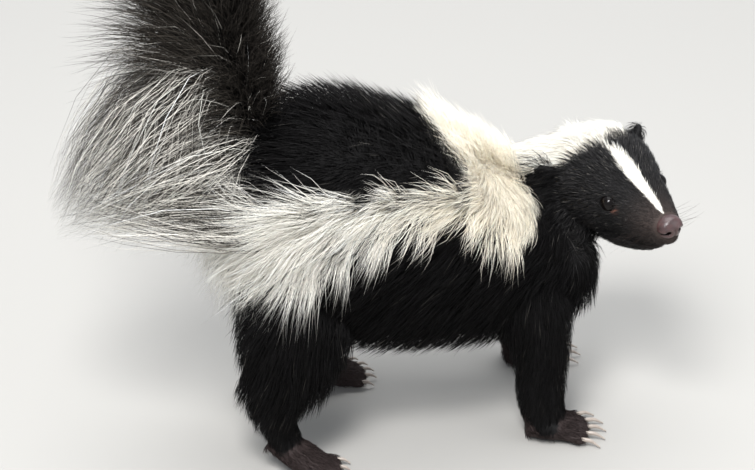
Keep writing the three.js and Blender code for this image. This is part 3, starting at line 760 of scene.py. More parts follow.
def ripple(points, scale, shift):
    # a smooth value between -1 and 1 through space: the mean of three sine waves that bend one another
    x, y, z = (points / scale + shift).T
    return (np.sin(x + 1.7 * np.sin(0.9 * y)) + np.sin(1.1 * y + 1.3 * np.sin(z))
            + np.sin(1.2 * z + 1.5 * np.sin(0.8 * x))) / 3

cellPrimes = [73856093, 19349663, 83492791]   # one number for each cell of a grid

def inLocks(tips, roots, length, size, pull, scatter):
    # a lock is the roots in one cell of a grid: each tip moves by pull * (mean tip of its lock - tip),
    # and the whole lock strays by a random part of its hair's length
    cell = np.floor(roots / size + rng.random(3)).astype(int)
    key = (cell * cellPrimes).sum(1)
    group = np.unique(key, return_inverse=True)[1].ravel()
    count = np.bincount(group)
    centre = np.stack([np.bincount(group, tips[:, k]) / count for k in range(3)], 1)
    stray = rng.normal(0, scatter, (len(count), 3))
    pull = (pull * rng.uniform(0.5, 1.3, len(tips)))[:, None]
    return tips + (centre[group] - tips) * pull + stray[group] * length[:, None]

def strandCurves(root, start, end, bow, sway, steps):
    # (1-s)^2 root + 2 s (1-s) (root + start * bow) + s^2 end + side * sway * s * sin(4.4 s + phase)
    s = np.linspace(0, 1, steps + 1)[None, :, None]
    knee = root + start * bow[:, None]
    line = (1 - s) ** 2 * root[:, None] + 2 * s * (1 - s) * knee[:, None] + s ** 2 * end[:, None]
    side = unit(np.cross(end - root, rng.normal(size=root.shape)))
    phase = rng.uniform(0, 2 * np.pi, (len(root), 1, 1))
    return line + side[:, None] * sway[:, None, None] * s * np.sin(4.4 * s + phase)

# Shares of the length: chord, least rise of the tip, knee; and how much steeper than the chord a hair starts
bend = {"chord": 0.95, "leastRise": 0.12, "knee": 0.5, "steeper": 1.5, "steepest": 1.4, "aboveFloor": 0.5}

def laid(roots, style):
    # strands that leave the skin steeply and bend over along the lay: the chord is lay * cos(lift) +
    # normal * sin(lift), turned a little by a ripple through space, sagging on the sides, and drawn into locks
    points, normal, count = roots["points"], roots["normals"], len(roots["points"])
    wild = 1 - style["calm"] * smooth(15, 55, points[:, 0])   # the shoulder and neck lie smoother
    lay = roots["direction"] + rng.normal(0, style["stray"], (count, 3)) * wild[:, None]
    # a short direction means that the lay is unclear there, and the hair is kept short
    sure = 0.5 + 0.5 * smooth(0.05, 0.4, np.linalg.norm(roots["direction"], axis=1))
    lay = unit(lay - normal * (lay * normal).sum(1, keepdims=True))
    turn = style["turn"] * (ripple(points, style["eddy"], 0.0) + 0.5 * ripple(points, style["eddy"] * 0.4, 9.0))
    turn = np.radians(turn * wild)[:, None]
    lay = lay * np.cos(turn) + np.cross(normal, lay) * np.sin(turn)
    lift = np.radians(roots["lift"] * rng.uniform(0.7, 1.35, count))[:, None]
    length = roots["length"] * rng.uniform(style["shortest"], style["longest"], count) * sure
    chord = lay * np.cos(lift) + normal * np.sin(lift)
    sag = style["sag"] * (1 - np.clip(normal[:, 2], 0, 1)) * rng.uniform(0.3, 1.0, count)
    chord = unit(chord - np.stack([0 * sag, 0 * sag, sag], 1))
    end = points + chord * (length * bend["chord"])[:, None]
    for size, pull, scatter in style["locks"]:
        end = inLocks(end, points, length * wild, size, pull, scatter)
    rise = ((end - points) * normal).sum(1)
    end += normal * np.maximum(bend["leastRise"] * length - rise, 0)[:, None]
    steep = np.minimum(lift * bend["steeper"] + 0.1, bend["steepest"])
    start = unit(lay * np.cos(steep) + normal * np.sin(steep))
    sway = style["sway"] * length * wild * rng.uniform(0.2, 1.4, count)
    base = points - normal * style["sunk"]
    curves = strandCurves(base, start, end, length * bend["knee"], sway, style["steps"])
    curves[..., 2] = np.maximum(curves[..., 2], bend["aboveFloor"])
    slim = np.clip(length / roots["length"].mean(), 0.55, 1.15)   # short hair is thinner
    return curves, style["width"] * rng.uniform(0.65, 1.2, count) * slim

def picked(roots, mask):
    # the roots where the mask is true
    return {key: value[mask] for key, value in roots.items()}

def strandTemplate(rings):
    # one strand's faces: three-sided rings joined by four-cornered faces, a cone to the tip and a closed root,
    # as vertex numbers, corner counts, and an unwrap by column / 3 and ring / rings round its own middle
    ring, column = np.meshgrid(np.arange(rings - 1), np.arange(3), indexing="ij")
    after = (column + 1) % 3
    quads = np.stack([ring * 3 + column, ring * 3 + after, (ring + 1) * 3 + after, (ring + 1) * 3 + column], -1)
    last, column = (rings - 1) * 3, np.arange(3)
    cone = np.stack([last + column, last + (column + 1) % 3, np.full(3, rings * 3)], 1)
    loops = np.concatenate([quads.ravel(), cone.ravel(), [0, 2, 1]])
    sizes = np.concatenate([np.full(3 * (rings - 1), 4), np.full(4, 3)])
    quadUv = [[(j + dj) / 3, (i + di) / rings] for i in range(rings - 1) for j in range(3)
              for di, dj in ((0, 0), (0, 1), (1, 1), (1, 0))]
    coneUv = [[(j + dj) / 3, (rings - 1 + di) / rings] for j in range(3)
              for di, dj in ((0, 0), (0, 1), (1, 0.5))]
    return loops, sizes, np.array(quadUv + coneUv + [[0, 0], [0.6, 0], [0.3, 0.3]]) - 0.5

def coatPiece(name, curves, width, colour, uv, material):
    # closed three-sided strands: p(s, a) = curve(s) + width / 2 * profile(s) * (across cos a + other sin a),
    # thickest near a third of the length and ending in a point
    count, rings = curves.shape[0], curves.shape[1] - 1
    s = np.linspace(0, 1, rings + 1)[:-1]
    profile = (0.72 + 0.28 * np.sin(np.pi * np.minimum(s * 1.5, 1))) * (1 - 0.55 * s ** 1.5)
    ahead = unit(np.gradient(curves, axis=1))
    spin = unit(rng.normal(size=(count, 1, 3)))
    across = unit(np.cross(ahead, spin))[:, :-1]
    other = np.cross(ahead[:, :-1], across)
    radius = (width[:, None] / 2 * profile)[..., None, None]
    angle = np.array([0, 2, 4]) * np.pi / 3
    circle = across[:, :, None] * np.cos(angle)[:, None] + other[:, :, None] * np.sin(angle)[:, None]
    body = (curves[:, :-1, None] + circle * radius).reshape(count, rings * 3, 3)
    points = np.concatenate([body, curves[:, -1:]], 1).reshape(-1, 3)
    loopsOne, sizesOne, uvOne = strandTemplate(rings)
    loops = (loopsOne[None] + np.arange(count)[:, None] * (rings * 3 + 1)).ravel()
    sizes = np.tile(sizesOne, count)
    mesh = bpy.data.meshes.new(name)
    mesh.vertices.add(len(points))
    mesh.vertices.foreach_set("co", toRow(points).astype(np.float32).ravel())
    mesh.loops.add(len(loops))
    mesh.loops.foreach_set("vertex_index", loops.astype(np.int32))
    mesh.polygons.add(len(sizes))
    mesh.polygons.foreach_set("loop_start", np.concatenate([[0], np.cumsum(sizes)[:-1]]).astype(np.int32))
    mesh.polygons.foreach_set("use_smooth", np.ones(len(sizes), bool))
    mesh.update(calc_edges=True)
    patch = (np.clip(uv, 0.002, 0.998)[:, None] + uvOne[None] * 0.003).reshape(-1, 2)   # on the root's own spot
    mesh.uv_layers.new(name="OFBake").data.foreach_set("uv", patch.astype(np.float32).ravel())
    rgb = np.concatenate([np.repeat(colour[:, :-1], 3, axis=1), colour[:, -1:]], 1).reshape(-1, 3)
    paintPoints(mesh, "coatColour", rgb)
    mesh.materials.append(material)
    piece = newObject(name, mesh)
    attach(piece, "root")

pieceTriangles = 190000

def trianglesEach(steps):
    # six for each ring but the last, three for the cone and one for the root
    return (steps - 1) * 6 + 4

def coat(name, curves, width, colour, uv, material):
    # a coat in pieces of at most pieceTriangles each
    each = trianglesEach(curves.shape[1] - 1)
    most = pieceTriangles // each
    for number, start in enumerate(range(0, len(curves), most)):
        pick = slice(start, start + most)
        coatPiece(f"{name}_{number + 1}", curves[pick], width[pick], colour[pick], uv[pick], material)
    print(name + ":", len(curves), "strands,", len(curves) * each, "triangles")

# Hair finishes: roughness, gloss and the scale of the noise in it
hairFinish = {"darkHair": {"rough": 0.5, "specular": 0.06, "grain": 260},
              "faceHair": {"rough": 0.45, "specular": 0.28, "grain": 400},
              "paleHair": {"rough": 0.5, "specular": 0.3, "grain": 260}}

# Body coat: trunk, neck and legs
bodyCoat = {"strands": 65500, "widest": 60, "give": 11, "spread": 0.28, "greyShare": 0.012}
darkStyle = {"steps": 2, "width": 0.42, "stray": 0.15, "turn": 14, "eddy": 13.0, "shortest": 0.6,
             "longest": 1.1, "sag": 0.18, "sunk": 0.4, "sway": 0.035, "calm": 0.3,
             "locks": [(10.0, 0.22, 0.03), (4.0, 0.20, 0.02)]}
paleStyle = {"steps": 3, "width": 0.28, "stray": 0.20, "turn": 18, "eddy": 12.0, "shortest": 0.55,
             "longest": 1.25, "sag": 0.15, "sunk": 0.4, "sway": 0.07, "calm": 0.6,
             "locks": [(11.0, 0.18, 0.06), (4.5, 0.22, 0.04)]}
brightest = 0.97   # no hair is whiter than this

def strandColours(white, steps, place, kind):
    # base + (tip - base) * S curve of the length, times a random level: cream to near white, or black to a
    # slightly lighter tip, a few tips grey
    count = len(white)
    grey = (rng.random(count) < kind["greyShare"])[:, None]
    warmth = rng.uniform(0.5, 1, count) * smooth(-50, 30, place[:, 0]) * smooth(70, 50, place[:, 0])
    warmth = warmth[:, None]
    pale = colours["white"] * (1 - warmth) + colours["warm"] * warmth
    paleTip = colours["whiteTip"] * (1 - 0.7 * warmth) + colours["warm"] * 0.7 * warmth
    base = np.where(white[:, None], pale, colours["black"])
    tip = np.where(white[:, None], paleTip, np.where(grey, colours["greyTip"], colours["blackTip"]))
    tone = np.where(white, 0.06, kind["spread"])
    s = smooth(0.4, 1.0, np.linspace(0, 1, steps + 1))[None, :, None]
    level = np.exp(rng.normal(0, 1, count) * tone)[:, None, None]
    return np.clip((base[:, None] * (1 - s) + tip[:, None] * s) * level, 0, brightest)

def withWisps(roots):
    # tufts along the stripe's edges: the upper ones stand up and back, the lower ones hang over the dark flank
    x, angle = roots["points"][:, 0], trunkAngle(roots["points"])
    onTrunk = (roots["part"] == "trunk") * smooth(55, 40, x)
    tuft = smooth(0.0, 0.3, ripple(roots["points"], 3.0, 4.0)) * onTrunk
    upper = tuft * smooth(16, 5, angle - np.interp(x, stripe["x"], stripe["inner"])) * smooth(20, 8, x)
    lower = tuft * smooth(15, 5, np.interp(x, stripe["outerX"], stripe["outer"]) - angle)
    roots["direction"] = roots["direction"] + upper[:, None] * [0.1, 0, 0.75] + lower[:, None] * [0.15, 0, -1.0]
    roots["length"] = roots["length"] * (1 + 0.25 * upper + 0.25 * lower)
    roots["lift"] = roots["lift"] + 10 * upper - 4 * lower
    return roots

def heldIn(curves):
    # beyond the widest half width w, a strand's y becomes w + give * tanh((y - w) / give)
    widest, give = bodyCoat["widest"], bodyCoat["give"]
    out = np.abs(curves[..., 1])
    past = give * np.tanh((out - widest) / give)
    curves[..., 1] *= np.where(out > widest, (widest + past) / np.maximum(out, 1), 1)
    return curves

def growBody(data, darkMaterial, paleMaterial):
    # dense where the hair is short and where it is white, thin on the belly
    inBody = np.isin(data["part"], ["trunk", "neck"] + list(legs))
    weight = np.where(inBody, 1.0, 0.0) * np.clip(20 / np.maximum(data["length"], 6), 0.55, 2.2)
    weight = weight * (1 + 3.0 * data["white"])
    weight *= 1 - 0.45 * (data["part"] == "trunk") * smooth(125, 150, trunkAngle(data["points"]))
    roots = sow(data, weight, bodyCoat["strands"])
    white = roots["white"] > rng.random(len(roots["white"]))
    kinds = [("coat_body_dark", ~white, darkStyle, darkMaterial, "black_coat"),
             ("coat_body_pale", white, paleStyle, paleMaterial, "white_coat")]
    for name, mask, style, material, slotName in kinds:
        some = picked(roots, mask)
        if style is paleStyle:
            some = withWisps(some)
        curves, width = laid(some, style)
        curves = heldIn(curves)
        colour = strandColours(white[mask], style["steps"], some["points"], bodyCoat)
        coat(name, curves, width, colour, some["uv"], material)

# Plume: long hair from the tail's core out to the plume's outline
plumeCoat = {"strands": 17000, "steps": 4, "width": 0.36, "spread": 0.28, "climb": 0.94,
             "climbMore": (0.02, 0.14), "rearClimb": 0.16, "inner": 0.68, "droop": (10, 80),
             "locks": (4.0, 0.22, 0.05), "sway": 0.05, "knee": 0.5, "sunk": 0.4}

def plumeColours(white, darkTip, smoky, steps):
    # base + (tip - base) * S curve of the length, times a random level: white, or black turned brown-grey by
    # the smoky share
    count = len(white)
    dark = colours["black"] * (1 - smoky[:, None]) + colours["smoke"] * smoky[:, None]
    s = smooth(0.35, 0.85, np.linspace(0, 1, steps + 1))[None, :, None]
    base = np.where(white[:, None], colours["white"] * 0.85, dark)
    tip = np.where((white & ~darkTip)[:, None], colours["white"], colours["brownTip"] + 0.5 * dark)
    level = np.exp(rng.normal(0, 1, count) * np.where(white, 0.12, 0.3))[:, None, None]
    return np.clip((base[:, None] * (1 - s) + tip[:, None] * s) * level, 0, brightest)

def growPlume(data, material):
    # a hair rooted at a share of the core ends a little higher on the plume's axis, at axis + (ahead * cos a,
    # side * sin a) * a random part of the outline there; behind and low down it hangs
    roots = sow(data, np.where(data["part"] == "tail", 1.0, 0.0), plumeCoat["strands"])
    points, normals, share = roots["points"], roots["normals"], roots["share"]
    count, steps = len(points), plumeCoat["steps"]
    spread = unit(normals + rng.normal(0, plumeCoat["spread"], (count, 3)))
    angle = np.arctan2(spread[:, 1], spread[:, 0])   # 0 ahead of the core, 180 degrees behind it
    behind = smooth(0.3, -0.5, np.cos(angle))
    climb = share * plumeCoat["climb"] + rng.uniform(*plumeCoat["climbMore"], count)
    goal = np.clip(climb + plumeCoat["rearClimb"] * behind * share, 0, 1)
    core = np.array(plume["core"], float)
    ahead, rear, side = (through(np.array(plume[k], float)[:, None], goal)[:, 0]
                         for k in ("ahead", "behind", "side"))
    forward = np.where(np.cos(angle) > 0, ahead, rear)
    out = (1 - rng.random(count) ** (1.5 - 0.6 * behind) * plumeCoat["inner"])[:, None]
    reach = np.stack([np.cos(angle) * forward, np.sin(angle) * side], 1) * out
    tangent = unit(through(core, np.clip(goal + 0.03, 0, 1)) - through(core, np.clip(goal - 0.03, 0, 1)))
    outward = np.cross([0, 1.0, 0], tangent)
    end = through(core, goal) + outward * reach[:, :1] + np.array([0, 1.0, 0]) * reach[:, 1:]
    droop = smooth(0.40, 0.0, share) * behind   # the lower hair behind hangs
    end[:, 2] -= droop * rng.uniform(*plumeCoat["droop"], count)
    length = np.linalg.norm(end - points, axis=1)
    end = inLocks(end, points * [1, 1, 0.5], length, *plumeCoat["locks"])
    start = unit(normals * (0.55 + 0.5 * droop[:, None]) + tangent * 0.9 + rng.normal(0, 0.12, (count, 3)))
    sway = plumeCoat["sway"] * length * rng.uniform(0.2, 1.5, count)
    base = points - normals * plumeCoat["sunk"]
    curves = strandCurves(base, start, end, length * plumeCoat["knee"], sway, steps)
    pale = (0.03 + 0.12 * smooth(0.36, 0.03, share)) * smooth(0.1, -0.9, np.cos(angle)) + 0.012
    white = rng.random(count) < pale
    darkTip = rng.random(count) < 0.85 * smooth(0.08, 0.45, share)
    smoky = behind * smooth(0.65, 0.1, share) * rng.uniform(0, 1, count) ** 2.2
    colour = plumeColours(white, darkTip, smoky, steps)
    width = plumeCoat["width"] * rng.uniform(0.7, 1.25, count)
    coat("coat_plume", curves, width, colour, roots["uv"], material)

# Fringe behind the rump: its hair ends within these rows, with the same six numbers as the body's rows
fringe = {"strands": 3400, "tailShare": 0.36, "rumpX": -84, "rumpZ": 128, "onRump": 0.5, "inner": 0.5,
          "locks": (9.0, 0.3, 0.02), "sway": 0.05, "knee": 0.62, "sunk": 0.4, "towards": (-0.9, 0, 0.55),
          "rows": [(-193, 0, 150, 8, 12, 10), (-184, 0, 156, 20, 32, 24), (-165, 0, 160, 30, 42, 38),
                   (-140, 0, 158, 34, 42, 42), (-112, 0, 156, 28, 36, 42), (-92, 0, 152, 18, 24, 30)]}

def growFringe(data, material):
    # each hair ends at row(t) + (0, half width * cos a, reach * sin a) * a random part of the way out
    atTail = (data["part"] == "tail") & (data["share"] < fringe["tailShare"]) & (data["normals"][:, 0] < -0.15)
    atRump = (data["part"] == "trunk") & (data["points"][:, 0] < fringe["rumpX"])
    atRump = atRump & (data["points"][:, 2] > fringe["rumpZ"])
    weight = np.where(atTail, 1.0, 0.0) + np.where(atRump, fringe["onRump"], 0.0)
    roots = sow(data, weight, fringe["strands"])
    points, normals = roots["points"], roots["normals"]
    count, steps = len(points), plumeCoat["steps"]
    place = through(np.array(fringe["rows"], float), rng.beta(1.6, 1.6, count))
    angle = rng.uniform(-np.pi, 0.35 * np.pi, count)
    out = 1 - fringe["inner"] * rng.random(count) ** 1.5
    rise = np.where(np.sin(angle) > 0, place[:, 4], place[:, 5]) * np.sin(angle) * out
    sideways = place[:, 3] * np.cos(angle) * out * 0.6 + normals[:, 1] * 12
    sideways = np.clip(sideways, -place[:, 3], place[:, 3])
    end = place[:, :3] + np.stack([0 * rise, sideways, rise], 1)
    length = np.linalg.norm(end - points, axis=1)
    end = inLocks(end, end, length, *fringe["locks"])
    start = unit(normals * [1, 1, 0.3] + rng.normal(0, 0.15, (count, 3)) + np.array(fringe["towards"]))
    sway = fringe["sway"] * length * rng.uniform(0.2, 1.5, count)
    base = points - normals * fringe["sunk"]
    curves = strandCurves(base, start, end, length * fringe["knee"], sway, steps)
    # white below, mixed with more and more dark hair higher up
    white = rng.random(count) < 0.08 + 0.80 * smooth(168, 128, end[:, 2])
    darkTip = rng.random(count) < 0.3 * smooth(140, 175, end[:, 2])
    colour = plumeColours(white, darkTip, rng.uniform(0, 1, count) ** 1.8, steps)
    width = plumeCoat["width"] * rng.uniform(0.7, 1.2, count)
    coat("coat_fringe", curves, width, colour, roots["uv"], material)

# Head coat; the bare zones fade in over the two distances given, in mm or in the nose's own half sizes
headCoat = {"strands": 17500, "greyer": 1.9, "bareEye": (4.7, 5.5), "bareNose": (1.04, 1.2), "spread": 0.5,
            "greyShare": 0.05, "muzzle": (36, 56), "muzzleShare": 0.5}
headStyle = {"steps": 2, "width": 0.28, "stray": 0.17, "turn": 10, "eddy": 8.0, "shortest": 0.65,
             "longest": 1.2, "sag": 0.06, "sunk": 0.15, "sway": 0.03, "calm": 0.0, "locks": [(3.0, 0.25, 0.03)]}

def growHead(data, material):
    # dense where the hair is short, none on the eyes, their inner corners and the nose
    weight = np.where(data["part"] == "head", 1.0, 0.0) * np.clip(7 / np.maximum(data["length"], 2.0), 0.8, 2.8)
    local = toHead(data["points"])
    for side in (-1, 1):
        gap = np.linalg.norm(local - mirrored(eye["at"], side), axis=1)
        weight = weight * smooth(*headCoat["bareEye"], gap)
        gap = np.linalg.norm(local - mirrored(eye["corner"], side), axis=1)
        weight = weight * smooth(eye["cornerReach"] * 0.5, eye["cornerReach"] * 1.1, gap)
    gap = np.linalg.norm((local - np.array(noseShape["at"])) / np.array(noseShape["half"]), axis=1)
    weight = weight * smooth(*headCoat["bareNose"], gap)
    roots = sow(data, weight, headCoat["strands"])
    white = roots["white"] > rng.random(len(roots["white"]))
    pale = white[:, None, None]
    colour = strandColours(white, headStyle["steps"], roots["points"], headCoat)
    colour = np.where(pale, colour, colour * headCoat["greyer"])
    muzzle = smooth(*headCoat["muzzle"], toHead(roots["points"])[:, 0])[:, None, None]
    share = headCoat["muzzleShare"]
    colour = np.where(pale, colour, colour * (1 - muzzle * share) + colours["muzzle"] * muzzle * share)
    curves, width = laid(roots, headStyle)
    coat("coat_head", curves, width, colour, roots["uv"], material)

# Whiskers; the pad is a range of x and of z in the head's frame, and the least distance from the middle
whiskers = {"perSide": 9, "steps": 4, "length": (12, 21), "width": 0.12, "sunk": 0.3, "knee": 0.5,
            "padX": (44, 55), "padZ": (-25, -17), "padY": 6, "back": -0.35}

def growWhiskers(data, material):
    # long stiff hairs from the pads beside the nose, each leaving sideways and curving back and down
    x, y, z = toHead(data["points"]).T
    onPad = (data["part"] == "head") & (x > whiskers["padX"][0]) & (x < whiskers["padX"][1])
    onPad = onPad & (z > whiskers["padZ"][0]) & (z < whiskers["padZ"][1]) & (np.abs(y) > whiskers["padY"])
    roots = sow(data, onPad * 1.0, 2 * whiskers["perSide"])
    count, steps = len(roots["points"]), whiskers["steps"]
    side = np.sign(toHead(roots["points"])[:, 1])
    start = unit(np.stack([rng.uniform(0.1, 0.6, count), side, rng.uniform(-0.2, 0.3, count)], 1))
    start = start @ head["turn"].T
    length = rng.uniform(*whiskers["length"], count)
    back = np.stack([np.full(count, whiskers["back"]), 0.9 * side, rng.uniform(-0.45, 0.1, count)], 1)
    end = roots["points"] + unit(start * 0.8 + back @ head["turn"].T) * length[:, None]
    base = roots["points"] - roots["normals"] * whiskers["sunk"]
    curves = strandCurves(base, start, end, length * whiskers["knee"], 0 * length, steps)
    colour = np.tile(colours["muzzle"] * 1.2, (count, steps + 1, 1))
    coat("whiskers", curves, np.full(count, whiskers["width"]), colour, roots["uv"], material)

# Paw coat, from near black at the root to 1.6 times as bright at the tip
pawCoat = {"strands": 6000, "tip": 1.6, "spread": 0.25}
pawStyle = {"steps": 2, "width": 0.34, "stray": 0.14, "turn": 6, "eddy": 8.0, "shortest": 0.7, "longest": 1.15,
            "sag": 0.0, "sunk": 0.15, "sway": 0.02, "calm": 0.0, "locks": [(3.0, 0.15, 0.02)]}

def growPaws(data, material):
    # only on the upper side of the paws, above the floor
    above = smooth(1.0, 3.0, data["points"][:, 2])
    weight = onPaw(data["part"]) * smooth(-0.5, 0.0, data["normals"][:, 2]) * above
    roots = sow(data, weight, pawCoat["strands"])
    curves, width = laid(roots, pawStyle)
    s = np.linspace(1.0, pawCoat["tip"], pawStyle["steps"] + 1)[None, :, None]
    colour = colours["paw"] * s * np.exp(rng.normal(0, pawCoat["spread"], (len(curves), 1, 1)))
    coat("coat_paws", curves, width, colour, roots["uv"], material)

# Eyes, nose and claws
def ballGrid(rings, sides):
    # angle from the front pole and angle round it, for each point of the rings between the poles
    fromPole = np.linspace(0, np.pi, rings)[1:-1]
    return np.meshgrid(fromPole, np.linspace(0, 2 * np.pi, sides, endpoint=False), indexing="ij")

def ballFaces(rows, cols):
    # four-cornered faces between the rings, and a fan to each of the two poles, which are the last two points
    i, k = np.meshgrid(np.arange(rows - 1), np.arange(cols), indexing="ij")
    after = (k + 1) % cols
    quads = np.stack([i * cols + k, (i + 1) * cols + k, (i + 1) * cols + after, i * cols + after], -1)
    front, last = rows * cols, (rows - 1) * cols
    caps = [[front, a, (a + 1) % cols] for a in range(cols)]
    caps += [[front + 1, last + (a + 1) % cols, last + a] for a in range(cols)]
    return quads.reshape(-1, 4), caps

eyeFinish = {"colour": (0.004, 0.0028, 0.0025), "rough": 0.05, "specular": 0.2, "bulge": 0.05,
             "bulgeWidth": 0.55, "rings": 33, "sides": 48}

def eyeMaterial():
    # wet, nearly black all over, so the lamps give the only light spots
    material = plain("eyeSurface", eyeFinish["colour"], eyeFinish["rough"])
    shader = material.node_tree.nodes["Principled BSDF"]
    shader.inputs["Specular IOR Level"].default_value = eyeFinish["specular"]
    return material

def makeEyes():
    # a ball with a slightly raised front: r(p) = radius * (1 + bulge * a bump of p), over the angle p from the
    # looking axis
    material = eyeMaterial()
    for side, word in ((-1, "right"), (1, "left")):
        centre, axis, level, rise = eyeFrame(side)
        p, q = ballGrid(eyeFinish["rings"], eyeFinish["sides"])
        radius = eye["radius"] * (1 + eyeFinish["bulge"] * bump(p, eyeFinish["bulgeWidth"]))
        ring = (axis * (radius * np.cos(p))[..., None] + level * (radius * np.sin(p) * np.cos(q))[..., None]
                + rise * (radius * np.sin(p) * np.sin(q))[..., None])
        poles = np.array([axis * eye["radius"] * (1 + eyeFinish["bulge"]), -axis * eye["radius"]])
        points = np.concatenate([ring.reshape(-1, 3), poles]) + centre
        quads, caps = ballFaces(*p.shape)
        piece = meshObject(f"eyeball_{word}", toRow(fromHead(points)), quads.tolist() + caps, material)
        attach(piece, "root")
        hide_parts(f"eye_{word}")
    print("eyes made")

# Heights and widths in mm on the pad; each pair is where a smooth step starts and ends; darkest and dullBelow
# set the painted shade in the nostrils
noseRelief = {"flat": 0.10, "aside": 3.7, "drop": -2.0, "pitHalf": (1.3, 1.1), "pit": 2.6, "slitDrop": -2.4,
              "slitSlope": 0.15, "slitWidth": 0.7, "slitFrom": (3.4, 4.8), "slitTo": (7.8, 6.6), "slit": 1.5,
              "grooveWidth": 0.5, "grooveFrom": (0.8, -1.0), "groove": 0.7, "rimOut": 2.5, "rimWidth": 0.8,
              "rim": 0.3, "rings": 72, "sides": 120, "darkest": 0.93, "dullBelow": 0.55}

def noseMaterial():
    # moist leather: blotches by noise, small round grains by Voronoi cells, times painted shade that darkens
    # the nostril pits
    material = plain("noseLeather", (0.075, 0.042, 0.043), 0.36)
    tree = material.node_tree
    shader = tree.nodes["Principled BSDF"]
    shader.inputs["Coat Weight"].default_value = 0.25
    shader.inputs["Coat Roughness"].default_value = 0.25
    where = addNode(tree, "ShaderNodeTexCoord")
    cells = addNode(tree, "ShaderNodeTexVoronoi", {"Scale": 1700.0})
    patches = addNode(tree, "ShaderNodeTexNoise", {"Scale": 260.0, "Detail": 3.0})
    ramp = addNode(tree, "ShaderNodeValToRGB")
    ramp.color_ramp.elements[0].color = (0.030, 0.015, 0.015, 1)
    ramp.color_ramp.elements[1].color = (0.078, 0.038, 0.037, 1)
    ramp.color_ramp.elements[0].position, ramp.color_ramp.elements[1].position = 0.3, 0.72
    bump = addNode(tree, "ShaderNodeBump", {"Strength": 0.35, "Distance": 0.0002})
    link = tree.links.new
    link(where.outputs["Object"], cells.inputs["Vector"])
    link(where.outputs["Object"], patches.inputs["Vector"])
    link(patches.outputs["Fac"], ramp.inputs["Fac"])
    # painted shade: the noseShade attribute darkens the base colour in the nostril pits and slits
    pits = addNode(tree, "ShaderNodeAttribute", attribute_name="noseShade")
    mix = addNode(tree, "ShaderNodeMix", {"Factor": 1.0}, data_type="RGBA", blend_type="MULTIPLY")
    link(ramp.outputs["Color"], mix.inputs[colourA])
    link(pits.outputs["Color"], mix.inputs[colourB])
    link(mix.outputs[colourOut], shader.inputs["Base Color"])
    link(cells.outputs["Distance"], bump.inputs["Height"])
    link(bump.outputs["Normal"], shader.inputs["Normal"])
    return material

def nostrilShadeMaterial():
    # painted shade: a near black inner wall of the nostrils, where shade falls, matt and with almost no gloss
    material = plain("nostril", (0.004, 0.0025, 0.0025), 0.95)
    material.node_tree.nodes["Principled BSDF"].inputs["Specular IOR Level"].default_value = 0.02
    return material

def makeNose():
    # an oval pad pushed in at two comma-shaped nostrils and along a groove below:
    # p = centre + half * direction * (1 - pits), over angles from the front pole
    shape = noseRelief
    p, q = ballGrid(shape["rings"], shape["sides"])
    d = np.stack([np.cos(p), np.sin(p) * np.cos(q), np.sin(p) * np.sin(q)], -1)
    d = np.concatenate([d.reshape(-1, 3), [[1, 0, 0], [-1, 0, 0]]])
    flat = 1 - shape["flat"] * smooth(0.5, 1.0, d[:, 0])
    points = d * np.array(noseShape["half"]) * flat[:, None]
    y, z = np.abs(points[:, 1]), points[:, 2]
    aside, above = y - shape["aside"], z - shape["drop"]
    pit = np.exp(-((aside / shape["pitHalf"][0]) ** 2 + (above / shape["pitHalf"][1]) ** 2)) * shape["pit"]
    slit = bump(z - shape["slitDrop"] - shape["slitSlope"] * aside, shape["slitWidth"])
    slit = slit * smooth(*shape["slitFrom"], y) * smooth(*shape["slitTo"], y) * shape["slit"]
    groove = bump(y, shape["grooveWidth"]) * smooth(*shape["grooveFrom"], z) * shape["groove"]
    rim = bump(np.hypot(aside, above) - shape["rimOut"], shape["rimWidth"]) * shape["rim"]
    front = smooth(-0.35, 0.1, d[:, 0])
    points -= d * ((np.maximum(pit, slit) + groove - rim) * front)[:, None]
    quads, caps = ballFaces(*p.shape)
    place = toRow(fromHead(points + np.array(noseShape["at"])))
    piece = meshObject("nose_pad", place, quads.tolist() + caps, noseMaterial())
    # painted shade: the colour is darkened where the pits and slits push in, down to 0.07 of it at the deepest
    shade = 1 - shape["darkest"] * smooth(0.4, 1.3, np.maximum(pit, slit) * front)
    paintPoints(piece.data, "noseShade", np.repeat(shade[:, None], 3, 1))
    # painted shade: faces deep in the pits get the near black, matt nostril finish
    piece.data.materials.append(nostrilShadeMaterial())
    wallShade = np.concatenate([shade[quads].mean(1), np.ones(len(caps))])
    piece.data.polygons.foreach_set("material_index", (wallShade < shape["dullBelow"]).astype(np.int32))
    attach(piece, "root")
    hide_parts("nose")
    print("nose made")

# A claw's rows: share of the toe, share of the claw's reach, rise in mm, share of the drop, share of the radius
clawRows = [(0.78, 0, 0.3, 0, 1.0), (0.9, 0.2, 0.9, 0, 0.95), (0.9, 0.55, 0.5, 0, 0.72), (0.9, 1, 0, 1, 0.16)]

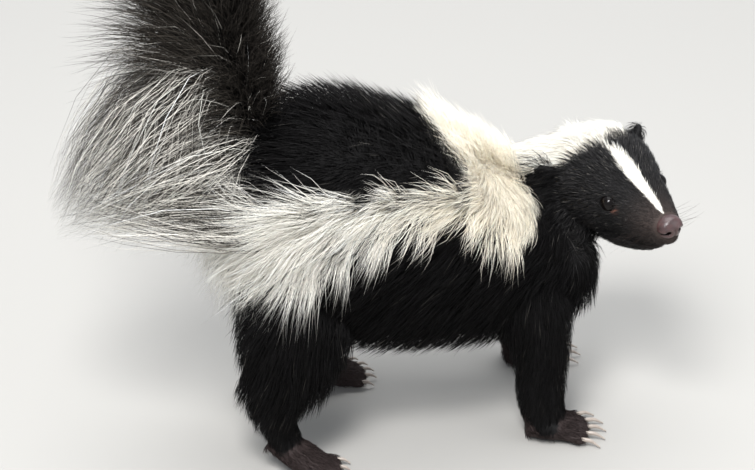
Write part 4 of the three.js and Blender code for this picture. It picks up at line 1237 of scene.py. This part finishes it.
def clawMaterial():
    # horn: streaks between brown and pale, by noise
    material = plain("clawHorn", (0.42, 0.36, 0.30), 0.38)
    tree = material.node_tree
    shader = tree.nodes["Principled BSDF"]
    where = addNode(tree, "ShaderNodeTexCoord")
    streaks = addNode(tree, "ShaderNodeTexNoise", {"Scale": 500.0, "Detail": 4.0})
    ramp = addNode(tree, "ShaderNodeValToRGB")
    ramp.color_ramp.elements[0].color = (0.20, 0.15, 0.12, 1)
    ramp.color_ramp.elements[1].color = (0.56, 0.50, 0.44, 1)
    link = tree.links.new
    link(where.outputs["Object"], streaks.inputs["Vector"])
    link(streaks.outputs["Fac"], ramp.inputs["Fac"])
    link(ramp.outputs["Color"], shader.inputs["Base Color"])
    return material

def makeClaws():
    # each claw is a loft along its toe that rises, then drops, and narrows to a blunt point; five are one piece
    material = clawMaterial()
    for name, leg in legs.items():
        paw = paws[leg["kind"]]
        turn, place = pawPlace(leg)
        reach, radius, drop = paw["claw"]
        parts = []
        for number in range(toes["count"]):
            start, along = toeLine(leg["kind"], leg["side"], number)
            rows = []
            for onToe, onClaw, rise, fall, k in clawRows:
                spot = start + along * (paw["length"] * onToe + reach * onClaw)
                spot = spot + [0, 0, paw["height"] + (rise - drop * fall)]
                rows.append((*spot, radius * k * 0.8, radius * k, radius * k))
            claw, faces = loft(rows, steps=18, sides=14)
            parts.append((claw @ turn.T + place, faces))
        points, faces = joined(parts)
        piece = meshObject(f"claws_{name}", toRow(points), faces, material)
        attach(piece, "root")
        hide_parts(*[f"{name}_claw_{i + 1}" for i in range(toes["count"])])
    print("claws made")

# Build, in the order of the random draws
makeCamera()
makeStudio()
skinPiece = makeSkin()
skinPiece.data.materials.append(skinMaterial())
data = readSkin(skinPiece)
paintSkin(skinPiece, data)
darkHair, faceHair, paleHair = (coatMaterial(name, **finish) for name, finish in hairFinish.items())
growBody(data, darkHair, paleHair)
growPlume(data, darkHair)
growFringe(data, paleHair)
growHead(data, faceHair)
growWhiskers(data, darkHair)
growPaws(data, darkHair)
makeEyes()
makeNose()
makeClaws()
